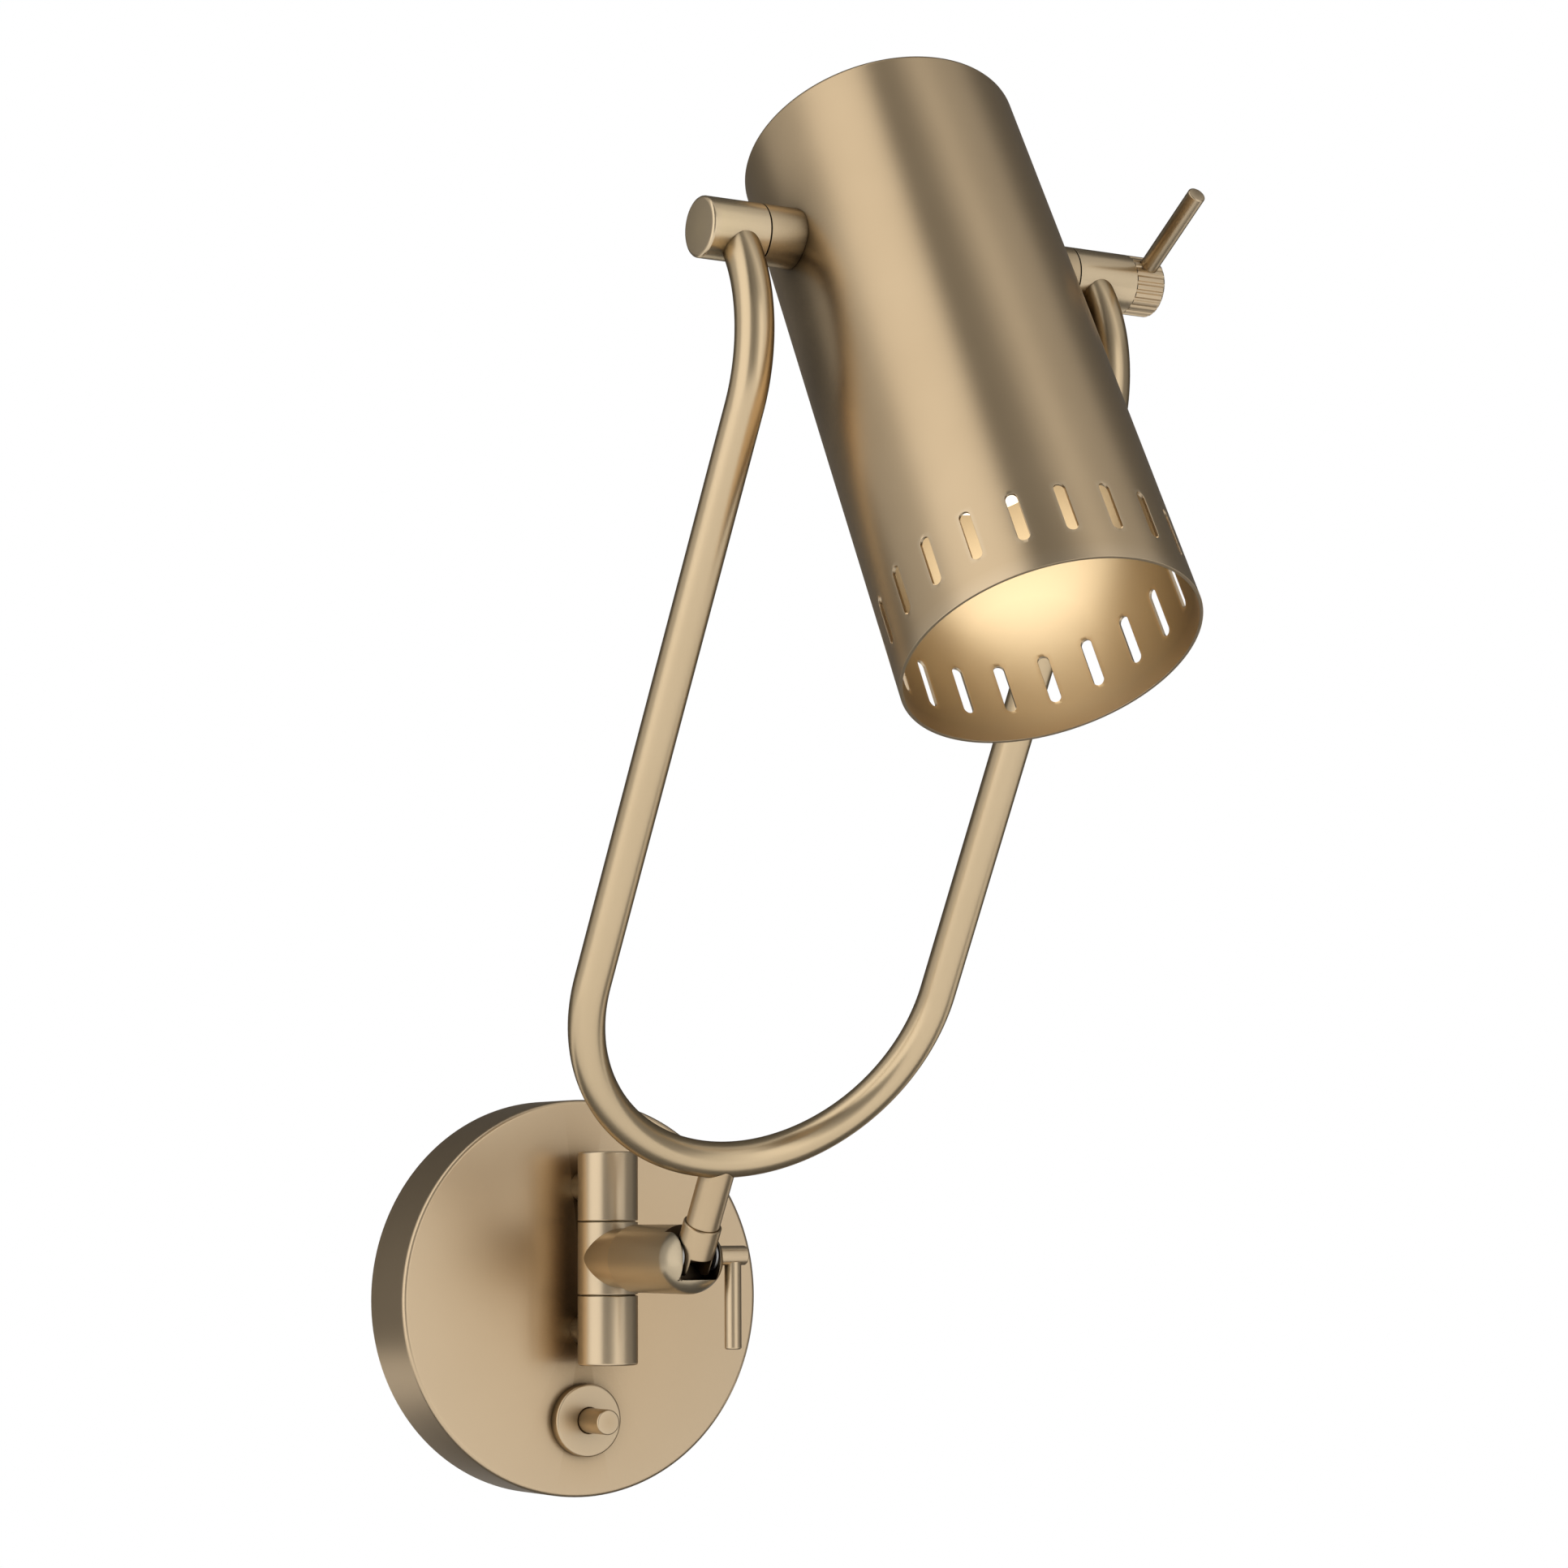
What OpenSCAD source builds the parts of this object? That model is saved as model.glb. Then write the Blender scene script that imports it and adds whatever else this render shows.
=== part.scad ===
// Swing arm wall lamp: round backplate, vertical swing hinge, clamped elbow,
// U-shaped tube yoke and a slotted tubular shade that tilts between its ends.
// The origin is the backplate's centre on the wall. The room is towards -Y, up is +Z.

/* [Backplate] */
// Diameter of the backplate
plate_d = 127; // [118:0.5:150]
// How far the backplate stands out from the wall
plate_depth = 25; // [23.5:0.5:32]
// Sheet thickness of the backplate
plate_wall = 1.5; // [1:0.1:2]
// Radius of the rounded edge of the backplate's face
plate_edge_r = 1.4; // [0.6:0.1:3]

/* [Mounting bracket] */
// Distance between the two slots that take the junction box screws
box_spacing = 88.9; // [84:0.1:92]
// Width of each slot
box_slot_w = 4.8; // [4:0.1:5.5]
// Length of each slot from end to end
box_slot_len = 12; // [8:0.5:14]
// Width of the bracket strap
bracket_w = 22; // [18:0.5:28]
// Thickness of the bracket strap
bracket_t = 2; // [1.5:0.1:2.5]
// How far the bent ends of the bracket reach towards the room
tab_depth = 16; // [12:0.5:18]
// Diameter of the hole in the middle of the bracket
nipple_hole_d = 10.6; // [8:0.1:12]
// Diameter of the grub screws that hold the backplate on the bracket
grub_d = 4; // [3:0.5:5]

/* [Swing hinge] */
// Distance from the backplate's face to the axis of the swing hinge
hinge_standoff = 16.9; // [15:0.1:24]
// Height of the hinge's middle above the backplate's centre
hinge_rise = 12.7; // [8:0.1:16]
// Diameter of the hinge knuckles
knuckle_d = 19.2; // [17:0.1:20.8]
// Height of the middle knuckle that swings
mid_knuckle_h = 22.9; // [22.4:0.1:28]
// Height of each fixed knuckle
end_knuckle_h = 21.9; // [16:0.1:26]
// Gap between two knuckles
knuckle_gap = 0.4; // [0.3:0.05:0.8]
// Chamfer on the outer ends of the hinge
knuckle_edge = 0.8; // [0.3:0.1:1.5]
// Diameter of the posts that carry the fixed knuckles
post_d = 10; // [9:0.1:12]
// Diameter of the threaded ends of the posts
post_thread_d = 8; // [7:0.1:9]
// Diameter of the passage for the leads through a post
post_bore_d = 5; // [4:0.1:5.4]
// Diameter of the hollow swing pin
pin_d = 8; // [7.6:0.1:9]
// Diameter of the swing pin's bore
pin_bore_d = 5.2; // [4.5:0.1:5.6]

/* [Elbow] */
// Distance from the swing axis to the ring seam
seam_out = 20.2; // [17:0.1:26]
// Distance from the swing axis to the centre of the elbow's domed end
dome_out = 54; // [50:0.5:64]
// Diameter of the elbow
elbow_d = 21.3; // [20.8:0.1:22.6]
// Diameter of the stub in front of the middle knuckle
stub_d = 18.9; // [16.5:0.1:19]
// Distance from the elbow's dome centre to the tilt axis, towards the room
tilt_out = 3.3; // [2:0.1:4]
// Height of the tilt axis above the elbow's axis
tilt_rise = 1.1; // [0.5:0.1:1.5]
// Width of the slot that the arm's foot turns in
elbow_slot_w = 13; // [12.8:0.1:13.6]
// Depth of the slot's floor below the elbow's axis
elbow_slot_floor = 6.2; // [5.6:0.1:7]
// Diameter of the clamp screw
clamp_screw_d = 3.5; // [3:0.1:4]
// Diameter of the clamp screw's head
clamp_head_d = 6; // [5.8:0.1:6.6]
// How far the clamp screw's head reaches from the lamp's middle
clamp_head_out = 17.9; // [17.6:0.1:20]
// Diameter of the rod that turns the elbow clamp
clamp_rod_d = 5.2; // [4.4:0.1:5.3]
// Length of the elbow clamp's rod, from the tilt axis
clamp_rod_len = 28.6; // [22:0.1:28.8]

/* [Arm] */
// How far the arm leans out from upright
arm_lean = 30.8; // [15:0.1:40]
// Diameter of the arm's foot
foot_d = 12; // [11.6:0.1:12.2]
// Height of the foot's seam above the tilt axis
foot_h = 11.4; // [11:0.1:14]
// Outer diameter of the arm tube
tube_d = 11; // [10.8:0.1:12]
// Wall of the arm tube
tube_wall = 1.2; // [0.8:0.1:1.4]
// Height of the yoke tube's lowest centre point above the tilt axis
yoke_low = 33.8; // [33.6:0.1:40]
// From the shade's side at the pivots to the middle of the arm's tube beside it
arm_room = 18.48; // [18:0.02:19.9]
// Height of the shade's pivot above the tilt axis, along the arm
pivot_h = 311.5; // [290:0.5:330]
// How far the shade's pivot lies behind the straight arms
pivot_back = 31.1; // [28:0.1:36]
// Angle of the bend at the top of each arm
top_bend = 75; // [68:0.5:80]

/* [Shade pivots] */
// Diameter of the pivot barrels and bosses
barrel_d = 17.3; // [16.8:0.1:18.4]
// Distance from the seam between boss and barrel to the middle of the arm beside it
seam_inset = 7.6; // [7.2:0.1:8]
// Length of the left pivot barrel with its end cap
left_barrel_len = 18.4; // [18:0.1:20]
// Length of the right pivot barrel
right_barrel_len = 19.9; // [18:0.1:21]
// Length of the fluted knob
knob_len = 9.8; // [8.5:0.1:12]
// Number of flutes round the knob
flute_count = 22; // [16:1:24]
// Diameter of each flute's cutter
flute_d = 1.3; // [1:0.05:1.5]
// Diameter of the knob's lever
lever_d = 5.4; // [4.6:0.1:6]
// Length of the knob's lever, from the tilt axis
lever_len = 37.5; // [30:0.5:45]
// How far the lever leans out from upright
lever_lean = 57; // [50:1:66]

/* [Shade] */
// Outer diameter of the shade at its closed end
shade_top_d = 80.4; // [79:0.1:81]
// Outer diameter of the shade at its open end
shade_rim_d = 84.2; // [82:0.1:88]
// Distance from the pivot to the shade's closed end
shade_above = 39.7; // [38:0.1:46]
// Distance from the pivot to the shade's rim
shade_below = 139.9; // [128:0.1:150]
// Wall of the shade
shade_wall = 1; // [0.8:0.1:1.3]
// How far the shade's axis leans from upright, with the opening towards the room
shade_tilt = 28.8; // [10:0.1:40]
// Number of slots round the rim
slot_count = 20; // [12:1:24]
// Width of each slot
slot_w = 3.2; // [2.4:0.1:4]
// Length of each slot from end to end
slot_len = 15.2; // [10:0.1:18]
// Distance from the rim to the slots' lower ends
slot_up = 9.4; // [6:0.1:14]

/* [Lamp holder and bulb] */
// Outer diameter of the lamp holder
holder_d = 34; // [32:0.5:38]
// Length of the lamp holder
holder_len = 34; // [31:0.5:40]
// Diameter of the bulb's screw cap
cap_d = 26; // [25.4:0.1:26.4]
// Largest diameter of the bulb
bulb_d = 60; // [50:0.5:62]
// Length of the bulb from its cap's contact to its crown
bulb_len = 107; // [98:0.5:110]

/* [Switch] */
// Distance of the switch below the plate's middle, as a share of the backplate's radius
switch_drop_share = 0.614; // [0.607:0.001:0.64]
// Diameter of the switch's collar
collar_d = 23.2; // [20:0.1:25]
// Thickness of the switch's collar
collar_t = 4; // [3:0.1:5]
// Diameter of the switch's button
button_d = 8; // [7:0.1:8.4]
// How far the button stands out from the collar
button_out = 13.5; // [8:0.1:16]
// How far the button travels
button_travel = 3; // [2:0.5:4]

/* [Hidden] */
$fn = 96;

// Shared clearances
running_fit = 0.05;
loose_fit = 0.1;
overrun = 1;
braze_gap = 0.05;

// Finishes
BRASS = [0.66, 0.55, 0.39];
STEEL = [0.66, 0.67, 0.68];
COPPER = [0.72, 0.45, 0.30];
WHITE = [0.93, 0.92, 0.88];
BLACK = [0.12, 0.12, 0.12];
GREEN = [0.20, 0.45, 0.24];
ORANGE = [0.85, 0.45, 0.15];
GLASS = [0.98, 0.95, 0.86, 0.6];

// Backplate and bracket
plate_r = plate_d / 2;
plate_inner_r = plate_r - plate_wall;
face_inner = plate_depth - plate_wall;
tab_gap = 0.8;
tab_bend_r = 1.5;
tab_clear_r = sqrt(plate_inner_r ^ 2 - (bracket_w / 2) ^ 2);
bracket_half = tab_clear_r - tab_gap;
grub_inset = 4;
grub_y = tab_depth - grub_inset;
grub_len = plate_r - bracket_half + bracket_t;
grub_socket_d = grub_d / 2;
grub_socket_depth = grub_d / 2;
earth_z = 24;
earth_head_d = 8;
earth_head_h = 3;
earth_thread_d = 4;
earth_slot_w = 1.2;

// Swing hinge
hinge_y = plate_depth + hinge_standoff;
knuckle_r = knuckle_d / 2;
mid_half = mid_knuckle_h / 2;
end_start = mid_half + knuckle_gap;
end_finish = end_start + end_knuckle_h;
post_z = end_start + end_knuckle_h / 2;
pin_cover = 2.7;
pin_half = end_finish - pin_cover;
pin_window_h = 8;
washer_t = knuckle_gap - loose_fit;
post_nut_af = 13;
post_nut_t = 4.5;
thread_past_nut = 3;
post_thread_len = plate_wall + post_nut_t + thread_past_nut;

// Elbow
elbow_r = elbow_d / 2;
stub_r = stub_d / 2;
spigot_d = 14;
spigot_len = 8.8;
lead_bore_d = 7;
seam_chamfer = 0.5;
tilt_y = hinge_y + dome_out + tilt_out;
tilt_z = hinge_rise + tilt_rise;
slot_floor_r = 1.2;
foot_back_gap = 0.7;
slot_back = dome_out + tilt_out - foot_d / 2 - foot_back_gap;
cheek_seat_gap = 0.2;
cheek_seat_d = clamp_head_d + 2 * cheek_seat_gap;
cheek_seat = sqrt(elbow_r ^ 2 - (cheek_seat_d / 2 + norm([tilt_out, tilt_rise])) ^ 2);
clamp_hole_d = clamp_screw_d + 2 * running_fit;
clamp_rod_gap = 0.4;
clamp_rod_x = elbow_r + clamp_rod_gap + clamp_rod_d / 2;
clamp_rod_seat = 1.2;
clamp_edge = 0.5;
rod_tail_d = 3;

// Arm
foot_r = foot_d / 2;
foot_bore_d = 8;
foot_flat_half = 5.6;
foot_seat_d = 9;
foot_window_w = 7.4;
foot_window_top = 1.5;
foot_chamfer = 0.3;
tube_r = tube_d / 2;
tube_bore_r = tube_r - tube_wall;
stem_step = 0.2;
stem_d = tube_d - 2 * stem_step;
stem_spigot_d = 9;
stem_spigot_len = 5;
stem_bore_d = 7;
stem_port_d = 6.4;
barrel_r = barrel_d / 2;
shade_len = shade_above + shade_below;
shade_top_r = shade_top_d / 2;
shade_rim_r = shade_rim_d / 2;
yoke_half_w = shade_r(0) + arm_room;
pivot_seam = yoke_half_w - seam_inset;
bend_r = pivot_back / (1 - cos(top_bend));
bend_start = pivot_h - bend_r * sin(top_bend);
u_centre = yoke_low + yoke_half_w;

// Shade pivots
pivot_gap = 0.4;
pivot_washer_t = pivot_gap - loose_fit;
barrel_start = pivot_seam + pivot_gap / 2;
boss_end = pivot_seam - pivot_gap / 2;
left_end = pivot_seam + left_barrel_len;
right_end = pivot_seam + right_barrel_len;
knob_gap = 0.2;
knob_start = right_end + knob_gap;
knob_end = knob_start + knob_len;
end_cap_t = 3;
barrel_edge = 1;
cavity_share = 0.717;
cavity_d = barrel_d * cavity_share;
cavity_depth_share = 1 / 3;
web_t = 3;
pivot_pin_share = 0.347;
pivot_pin_d = barrel_d * pivot_pin_share;
pin_hole_d = pivot_pin_d + 2 * running_fit;
tube_stop_gap = 0.3;
tube_stop = cavity_d / 2 + tube_stop_gap;
tube_stop_right = pivot_pin_d / 2 + tube_stop_gap;
nipple_wall = 1.1;
nipple_bore_d = pivot_pin_d - 2 * nipple_wall;
nipple_past_nut = 0.6;
pivot_nut_room = 0.65;
pivot_nut_af = (cavity_d - 2 * pivot_nut_room) * cos(30);
pivot_nut_t = 2.6;
bolt_head_af = 10;
bolt_head_t = 4;
lever_x = (knob_start + knob_end) / 2;
lever_tail_d = 4;
lever_seat = 1;
lever_edge = 0.4;
knob_edge = 1;
knob_blind = 2.4;
flute_out = 0.15;

// Shade
shade_top_edge = 1.5;
rim_fold = 0.6;
strap_t = 1.5;
strap_w = 14;
strap_gap = 0.3;
strap_foot = 9;
holder_top = 26;
holder_nut_af = 14;
holder_nut_t = 3;
holder_neck_d = 10;
holder_base_t = 4;
holder_edge = 1;
contact_gap = 0.5;
cap_len = 25;
neck_d = 25;
bulb_wall = 0.8;
cap_wall = 0.8;

cap_top = holder_top - holder_base_t - contact_gap;
cap_bottom = cap_top - cap_len;
cap_contact_share = 1 / 6;
cap_contact_r = cap_d * cap_contact_share;
cap_slope = cap_d * cap_contact_share;
cap_root_r = cap_d / 2;
crown = cap_top - bulb_len;
bulb_r = bulb_d / 2;
bulb_mid = crown + bulb_r;
neck_r = neck_d / 2;
neck_end = min(cap_bottom, holder_top - holder_len) - contact_gap;
neck_rise = neck_end - bulb_mid;
hollow_r = (neck_r ^ 2 + neck_rise ^ 2 - bulb_r ^ 2) / (2 * (bulb_r - neck_r));
bulb_lean = atan2(neck_rise, neck_r + hollow_r);
crown_steps = 26;
hollow_steps = 10;

// Switch
switch_z = -plate_r * switch_drop_share;
bushing_d = 10;
switch_body_d = 20;
switch_body_len = 12;
lock_nut_t = 2.4;
lock_nut_af = 14;
collar_edge = 0.8;
button_edge = 0.6;
terminal_w = 4.8;
terminal_t = 0.8;
terminal_len = 4;

// Leads
lead_d = 2;
lamp_lead_d = 1.6;
twin_lead_d = 3.2;
lead_gap = 0.2;
lead_side = (lead_d + lead_gap) / 2;
lamp_lead_side = (lamp_lead_d + lead_gap / 2) / 2;
lamp_lead_run = 6.4;
lamp_lead_start = 3.2;
lead_sides = 8;
lead_rings = 18;

// Route of the twin lead, from the foot to the left pivot barrel
lead_lay = tube_bore_r - twin_lead_d / 2 - lead_gap;
lay_r = yoke_half_w + lead_lay;
lead_foot = clamp_screw_d / 2 + lead_gap;
lead_stop = top_bend - tube_stop / bend_r * 180 / PI;
u_turn = 20;
u_steps = 14;
arm_steps = 6;
yoke_lead_path = concat(
    [for (i = [0 : 2]) [0, 0, lead_foot + i * (yoke_low - tube_d - lead_foot) / 3]],
    curve([0, 0, yoke_low - tube_d], [0, 0, yoke_low + tube_bore_r], [-tube_bore_r, 0, yoke_low],
        [-lay_r * sin(u_turn), 0, u_centre - lay_r * cos(u_turn)], 2 * arm_steps),
    [for (i = [1 : u_steps]) let (a = u_turn + i * (90 - u_turn) / u_steps)
        [-lay_r * sin(a), 0, u_centre - lay_r * cos(a)]],
    [for (i = [1 : arm_steps]) [-lay_r, 0, u_centre + i * (bend_start - u_centre) / arm_steps]],
    [for (i = [1 : arm_steps]) let (a = i * lead_stop / arm_steps)
        [-lay_r, bend_r * (1 - cos(a)), bend_start + bend_r * sin(a)]]);

// Wire connectors
connector_x = 31;
connector_z = -4;
connector_y = 13;
connector_d = 10;
connector_tip_d = 7;
connector_len = 17;
connector_mouth = connector_z + lead_d;
lead_sweep = 9;
terminal_end = switch_body_d / 4 + terminal_w / 2 + lead_gap;
terminal_mid_y = -face_inner + lock_nut_t + switch_body_len + terminal_len / 2;
post_end_y = -plate_depth + post_thread_len;
post_top_z = hinge_rise + post_z;

// Radius of the shade's outside at a height above the pivot
function shade_r(z) = shade_rim_r + (shade_top_r - shade_rim_r) * (z + shade_below) / shade_len;

// Flat distance from the axis to a strap's leg inside the shade
leg_room_r = min(shade_r(holder_top + strap_t), shade_r(-strap_foot)) - shade_wall;
leg_in = sqrt(leg_room_r ^ 2 - (strap_w / 2) ^ 2) - strap_gap;

nipple_in = leg_in - strap_t - pivot_nut_t - nipple_past_nut;
nipple_out = barrel_start + web_t + pivot_washer_t + pivot_nut_t + nipple_past_nut;
bolt_len = knob_end - knob_blind - loose_fit - leg_in + strap_t;

function unit(v) = v / norm(v);
function bezier(a, b, c, d, t) =
    a * (1 - t) ^ 3 + 3 * b * t * (1 - t) ^ 2 + 3 * c * t ^ 2 * (1 - t) + d * t ^ 3;
function curve(a, b, c, d, n) = [for (i = [0 : n]) bezier(a, b, c, d, i / n)];
function tangent(path, i) =
    unit(path[min(i + 1, len(path) - 1)] - path[max(i - 1, 0)]);

// A lead: one round tube of few sides along a list of points
module lead(path, d, side) {
    n = len(path);
    rings = [for (i = [0 : n - 1], k = [0 : lead_sides - 1])
        let (t = tangent(path, i), u = unit(cross(t, side)), w = cross(t, u),
            a = 360 * k / lead_sides)
        path[i] + d / 2 * (cos(a) * u + sin(a) * w)];
    last = (n - 1) * lead_sides;
    walls = [for (i = [0 : n - 2], k = [0 : lead_sides - 1], half = [0, 1])
        let (k2 = (k + 1) % lead_sides, a = i * lead_sides, b = a + lead_sides)
        half == 0 ? [a + k, b + k, a + k2] : [a + k2, b + k, b + k2]];
    ends = [for (k = [1 : lead_sides - 2], half = [0, 1])
        half == 0 ? [0, k, k + 1] : [last, last + k + 1, last + k]];
    polyhedron(points = rings, faces = concat(walls, ends));
}

// A cylinder along +Z with a chamfer on its far end
module turned(d, h, edge) {
    rotate_extrude() polygon([[0, 0], [d / 2, 0], [d / 2, h - edge],
        [d / 2 - edge, h], [0, h]]);
}

module hex_nut(af, t, bore) {
    difference() {
        cylinder(d = af / cos(30), h = t, $fn = 6);
        translate([0, 0, -overrun]) cylinder(d = bore, h = t + 2 * overrun);
    }
}

module washer(outer, inner, t) {
    difference() {
        cylinder(d = outer, h = t);
        translate([0, 0, -overrun]) cylinder(d = inner, h = t + 2 * overrun);
    }
}

// Outline of a slot with round ends, its length along Y
module slot_outline(w, l) {
    square([w, l - w], center = true);
    for (s = [-1, 1]) translate([0, s * (l - w) / 2]) circle(d = w);
}

// Places: +Z along -Y, out from the wall
module outwards() rotate([90, 0, 0]) children();
module at_hinge() translate([0, -hinge_y, hinge_rise]) children();
module at_tilt() translate([0, -tilt_y, tilt_z]) children();
module arm_frame() at_tilt() rotate([arm_lean, 0, 0]) children();
module at_pivot() arm_frame() translate([0, pivot_back, pivot_h]) rotate([-arm_lean, 0, 0]) children();
module shade_frame() at_pivot() rotate([-shade_tilt, 0, 0]) children();
// +Z along +X or -X
module rightwards(x) translate([x, 0, 0]) rotate([0, 90, 0]) children();
module leftwards(x) translate([-x, 0, 0]) rotate([0, -90, 0]) children();

// Backplate: a spun cup that hides the bracket and the wiring
module canopy_shell() color(BRASS) difference() {
    outwards() rotate_extrude() difference() {
        union() {
            square([plate_r - plate_edge_r, plate_depth]);
            square([plate_r, plate_depth - plate_edge_r]);
            translate([plate_r - plate_edge_r, plate_depth - plate_edge_r]) circle(r = plate_edge_r);
        }
        translate([-overrun, -overrun]) square([plate_inner_r + overrun, face_inner + overrun]);
    }
    for (s = [-1, 1]) translate([0, -face_inner + overrun, hinge_rise + s * post_z])
        outwards() cylinder(d = post_thread_d + 2 * loose_fit, h = plate_wall + 2 * overrun);
    translate([0, -face_inner + overrun, switch_z])
        outwards() cylinder(d = bushing_d + 2 * loose_fit, h = plate_wall + 2 * overrun);
    for (s = [-1, 1]) translate([0, -grub_y, s * (plate_inner_r - overrun)]) rotate([90 - 90 * s, 0, 0])
        cylinder(d = grub_d + 2 * loose_fit, h = plate_wall + 2 * overrun);
}

// Strap across the junction box, with two bent ends that take the grub screws
module mounting_bracket() color(STEEL) difference() {
    union() {
        translate([-bracket_w / 2, -bracket_t, -bracket_half])
            cube([bracket_w, bracket_t, 2 * bracket_half]);
        for (s = [-1, 1])
            translate([-bracket_w / 2, -tab_depth, s * (bracket_half - bracket_t / 2) - bracket_t / 2])
                cube([bracket_w, tab_depth, bracket_t]);
    }
    for (s = [-1, 1]) translate([0, overrun, s * box_spacing / 2])
        outwards() linear_extrude(bracket_t + 2 * overrun) slot_outline(box_slot_w, box_slot_len);
    translate([0, overrun, 0]) outwards() cylinder(d = nipple_hole_d, h = bracket_t + 2 * overrun);
    translate([0, overrun, earth_z]) outwards()
        cylinder(d = earth_thread_d + 2 * running_fit, h = bracket_t + 2 * overrun);
    for (s = [-1, 1]) translate([0, -grub_y, s * (bracket_half - bracket_t - overrun)])
        rotate([90 - 90 * s, 0, 0]) cylinder(d = grub_d + 2 * running_fit, h = bracket_t + 2 * overrun);
}

module canopy_grub_screws() color(STEEL)
    for (s = [-1, 1]) translate([0, -grub_y, s * (plate_r - grub_len)]) rotate([90 - 90 * s, 0, 0])
        difference() {
            cylinder(d = grub_d, h = grub_len);
            translate([0, 0, grub_len - grub_socket_depth])
                cylinder(d = grub_socket_d, h = grub_socket_depth + overrun, $fn = 6);
        }

module earth_screw() color(GREEN) translate([0, 0, earth_z]) difference() {
    union() {
        translate([0, -bracket_t, 0]) outwards() turned(earth_head_d, earth_head_h, earth_slot_w / 2);
        outwards() cylinder(d = earth_thread_d, h = bracket_t + overrun);
    }
    translate([-earth_head_d, -bracket_t - earth_head_h - overrun, -earth_slot_w / 2])
        cube([2 * earth_head_d, overrun + earth_slot_w, earth_slot_w]);
}

// A fixed knuckle on its post, the threaded end of the post through the backplate.
// It is drawn above the hinge's middle, and turned over for the lower one.
module fixed_knuckle() difference() {
    union() {
        translate([0, 0, end_start]) turned(knuckle_d, end_knuckle_h, knuckle_edge);
        translate([0, hinge_standoff, post_z]) outwards() cylinder(d = post_d, h = hinge_standoff);
        translate([0, hinge_standoff + post_thread_len, post_z]) outwards()
            cylinder(d = post_thread_d, h = post_thread_len + overrun);
    }
    translate([0, 0, end_start - overrun])
        cylinder(d = pin_d + 2 * running_fit, h = pin_half - end_start + overrun);
    translate([0, hinge_standoff + post_thread_len + overrun, post_z]) outwards()
        cylinder(d = post_bore_d, h = hinge_standoff + post_thread_len + overrun);
}

module upper_knuckle() color(BRASS) at_hinge() fixed_knuckle();
module lower_knuckle() color(BRASS) at_hinge() mirror([0, 0, 1]) fixed_knuckle();

module post_nuts() color(STEEL)
    for (s = [-1, 1]) translate([0, -face_inner + post_nut_t, hinge_rise + s * post_z])
        outwards() hex_nut(post_nut_af, post_nut_t, post_thread_d + 2 * running_fit);

// Hollow pin: a side hole meets the upper post, a window faces the stub through its whole swing
module swing_pin() color(STEEL) at_hinge() difference() {
    translate([0, 0, -pin_half]) cylinder(d = pin_d, h = 2 * pin_half);
    translate([0, 0, -pin_half - overrun]) cylinder(d = pin_bore_d, h = 2 * (pin_half + overrun));
    translate([0, pin_d, post_z]) outwards() cylinder(d = post_bore_d - 2 * loose_fit, h = pin_d);
    translate([-pin_d, -pin_d, -pin_window_h / 2]) cube([2 * pin_d, pin_d, pin_window_h]);
}

module swing_washers() color(COPPER) at_hinge()
    for (s = [-1, 1]) translate([0, 0, s * (mid_half + knuckle_gap / 2) - washer_t / 2])
        washer(knuckle_d - 2 * knuckle_edge, pin_d + 2 * loose_fit, washer_t);

// Middle knuckle with the stub and the spigot that the elbow screws on to
module swing_knuckle() color(BRASS) at_hinge() difference() {
    union() {
        translate([0, 0, -mid_half]) cylinder(d = knuckle_d, h = mid_knuckle_h);
        outwards() turned(stub_d, seam_out, seam_chamfer);
        outwards() cylinder(d = spigot_d, h = seam_out + spigot_len);
    }
    translate([0, 0, -mid_half - overrun])
        cylinder(d = pin_d + 2 * running_fit, h = mid_knuckle_h + 2 * overrun);
    outwards() cylinder(d = lead_bore_d, h = seam_out + spigot_len + overrun);
}

// Elbow: a tube with a domed end, slotted from above and in front for the arm's foot
module elbow() color(BRASS) difference() {
    at_hinge() outwards() union() {
        translate([0, 0, seam_out]) mirror([0, 0, 1]) translate([0, 0, -(dome_out - seam_out)])
            turned(elbow_d, dome_out - seam_out, seam_chamfer);
        translate([0, 0, dome_out]) intersection() {
            sphere(d = elbow_d);
            cylinder(d = 2 * elbow_d, h = elbow_d);
        }
    }
    at_hinge() outwards() translate([0, 0, seam_out - overrun])
        cylinder(d = spigot_d + 2 * running_fit, h = spigot_len + loose_fit + overrun);
    at_hinge() outwards() translate([0, 0, seam_out])
        cylinder(d = lead_bore_d, h = dome_out - seam_out);
    at_hinge() translate([0, -slot_back, 0]) outwards() linear_extrude(elbow_d) {
        translate([-elbow_slot_w / 2 + slot_floor_r, -elbow_slot_floor])
            square([elbow_slot_w - 2 * slot_floor_r, elbow_d]);
        translate([-elbow_slot_w / 2, -elbow_slot_floor + slot_floor_r]) square([elbow_slot_w, elbow_d]);
        for (s = [-1, 1])
            translate([s * (elbow_slot_w / 2 - slot_floor_r), -elbow_slot_floor + slot_floor_r])
                circle(r = slot_floor_r);
    }
    at_tilt() rightwards(-cheek_seat - loose_fit) cylinder(d = clamp_hole_d, h = cheek_seat + elbow_d);
    at_tilt() rightwards(cheek_seat) cylinder(d = cheek_seat_d, h = elbow_d);
}

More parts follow.
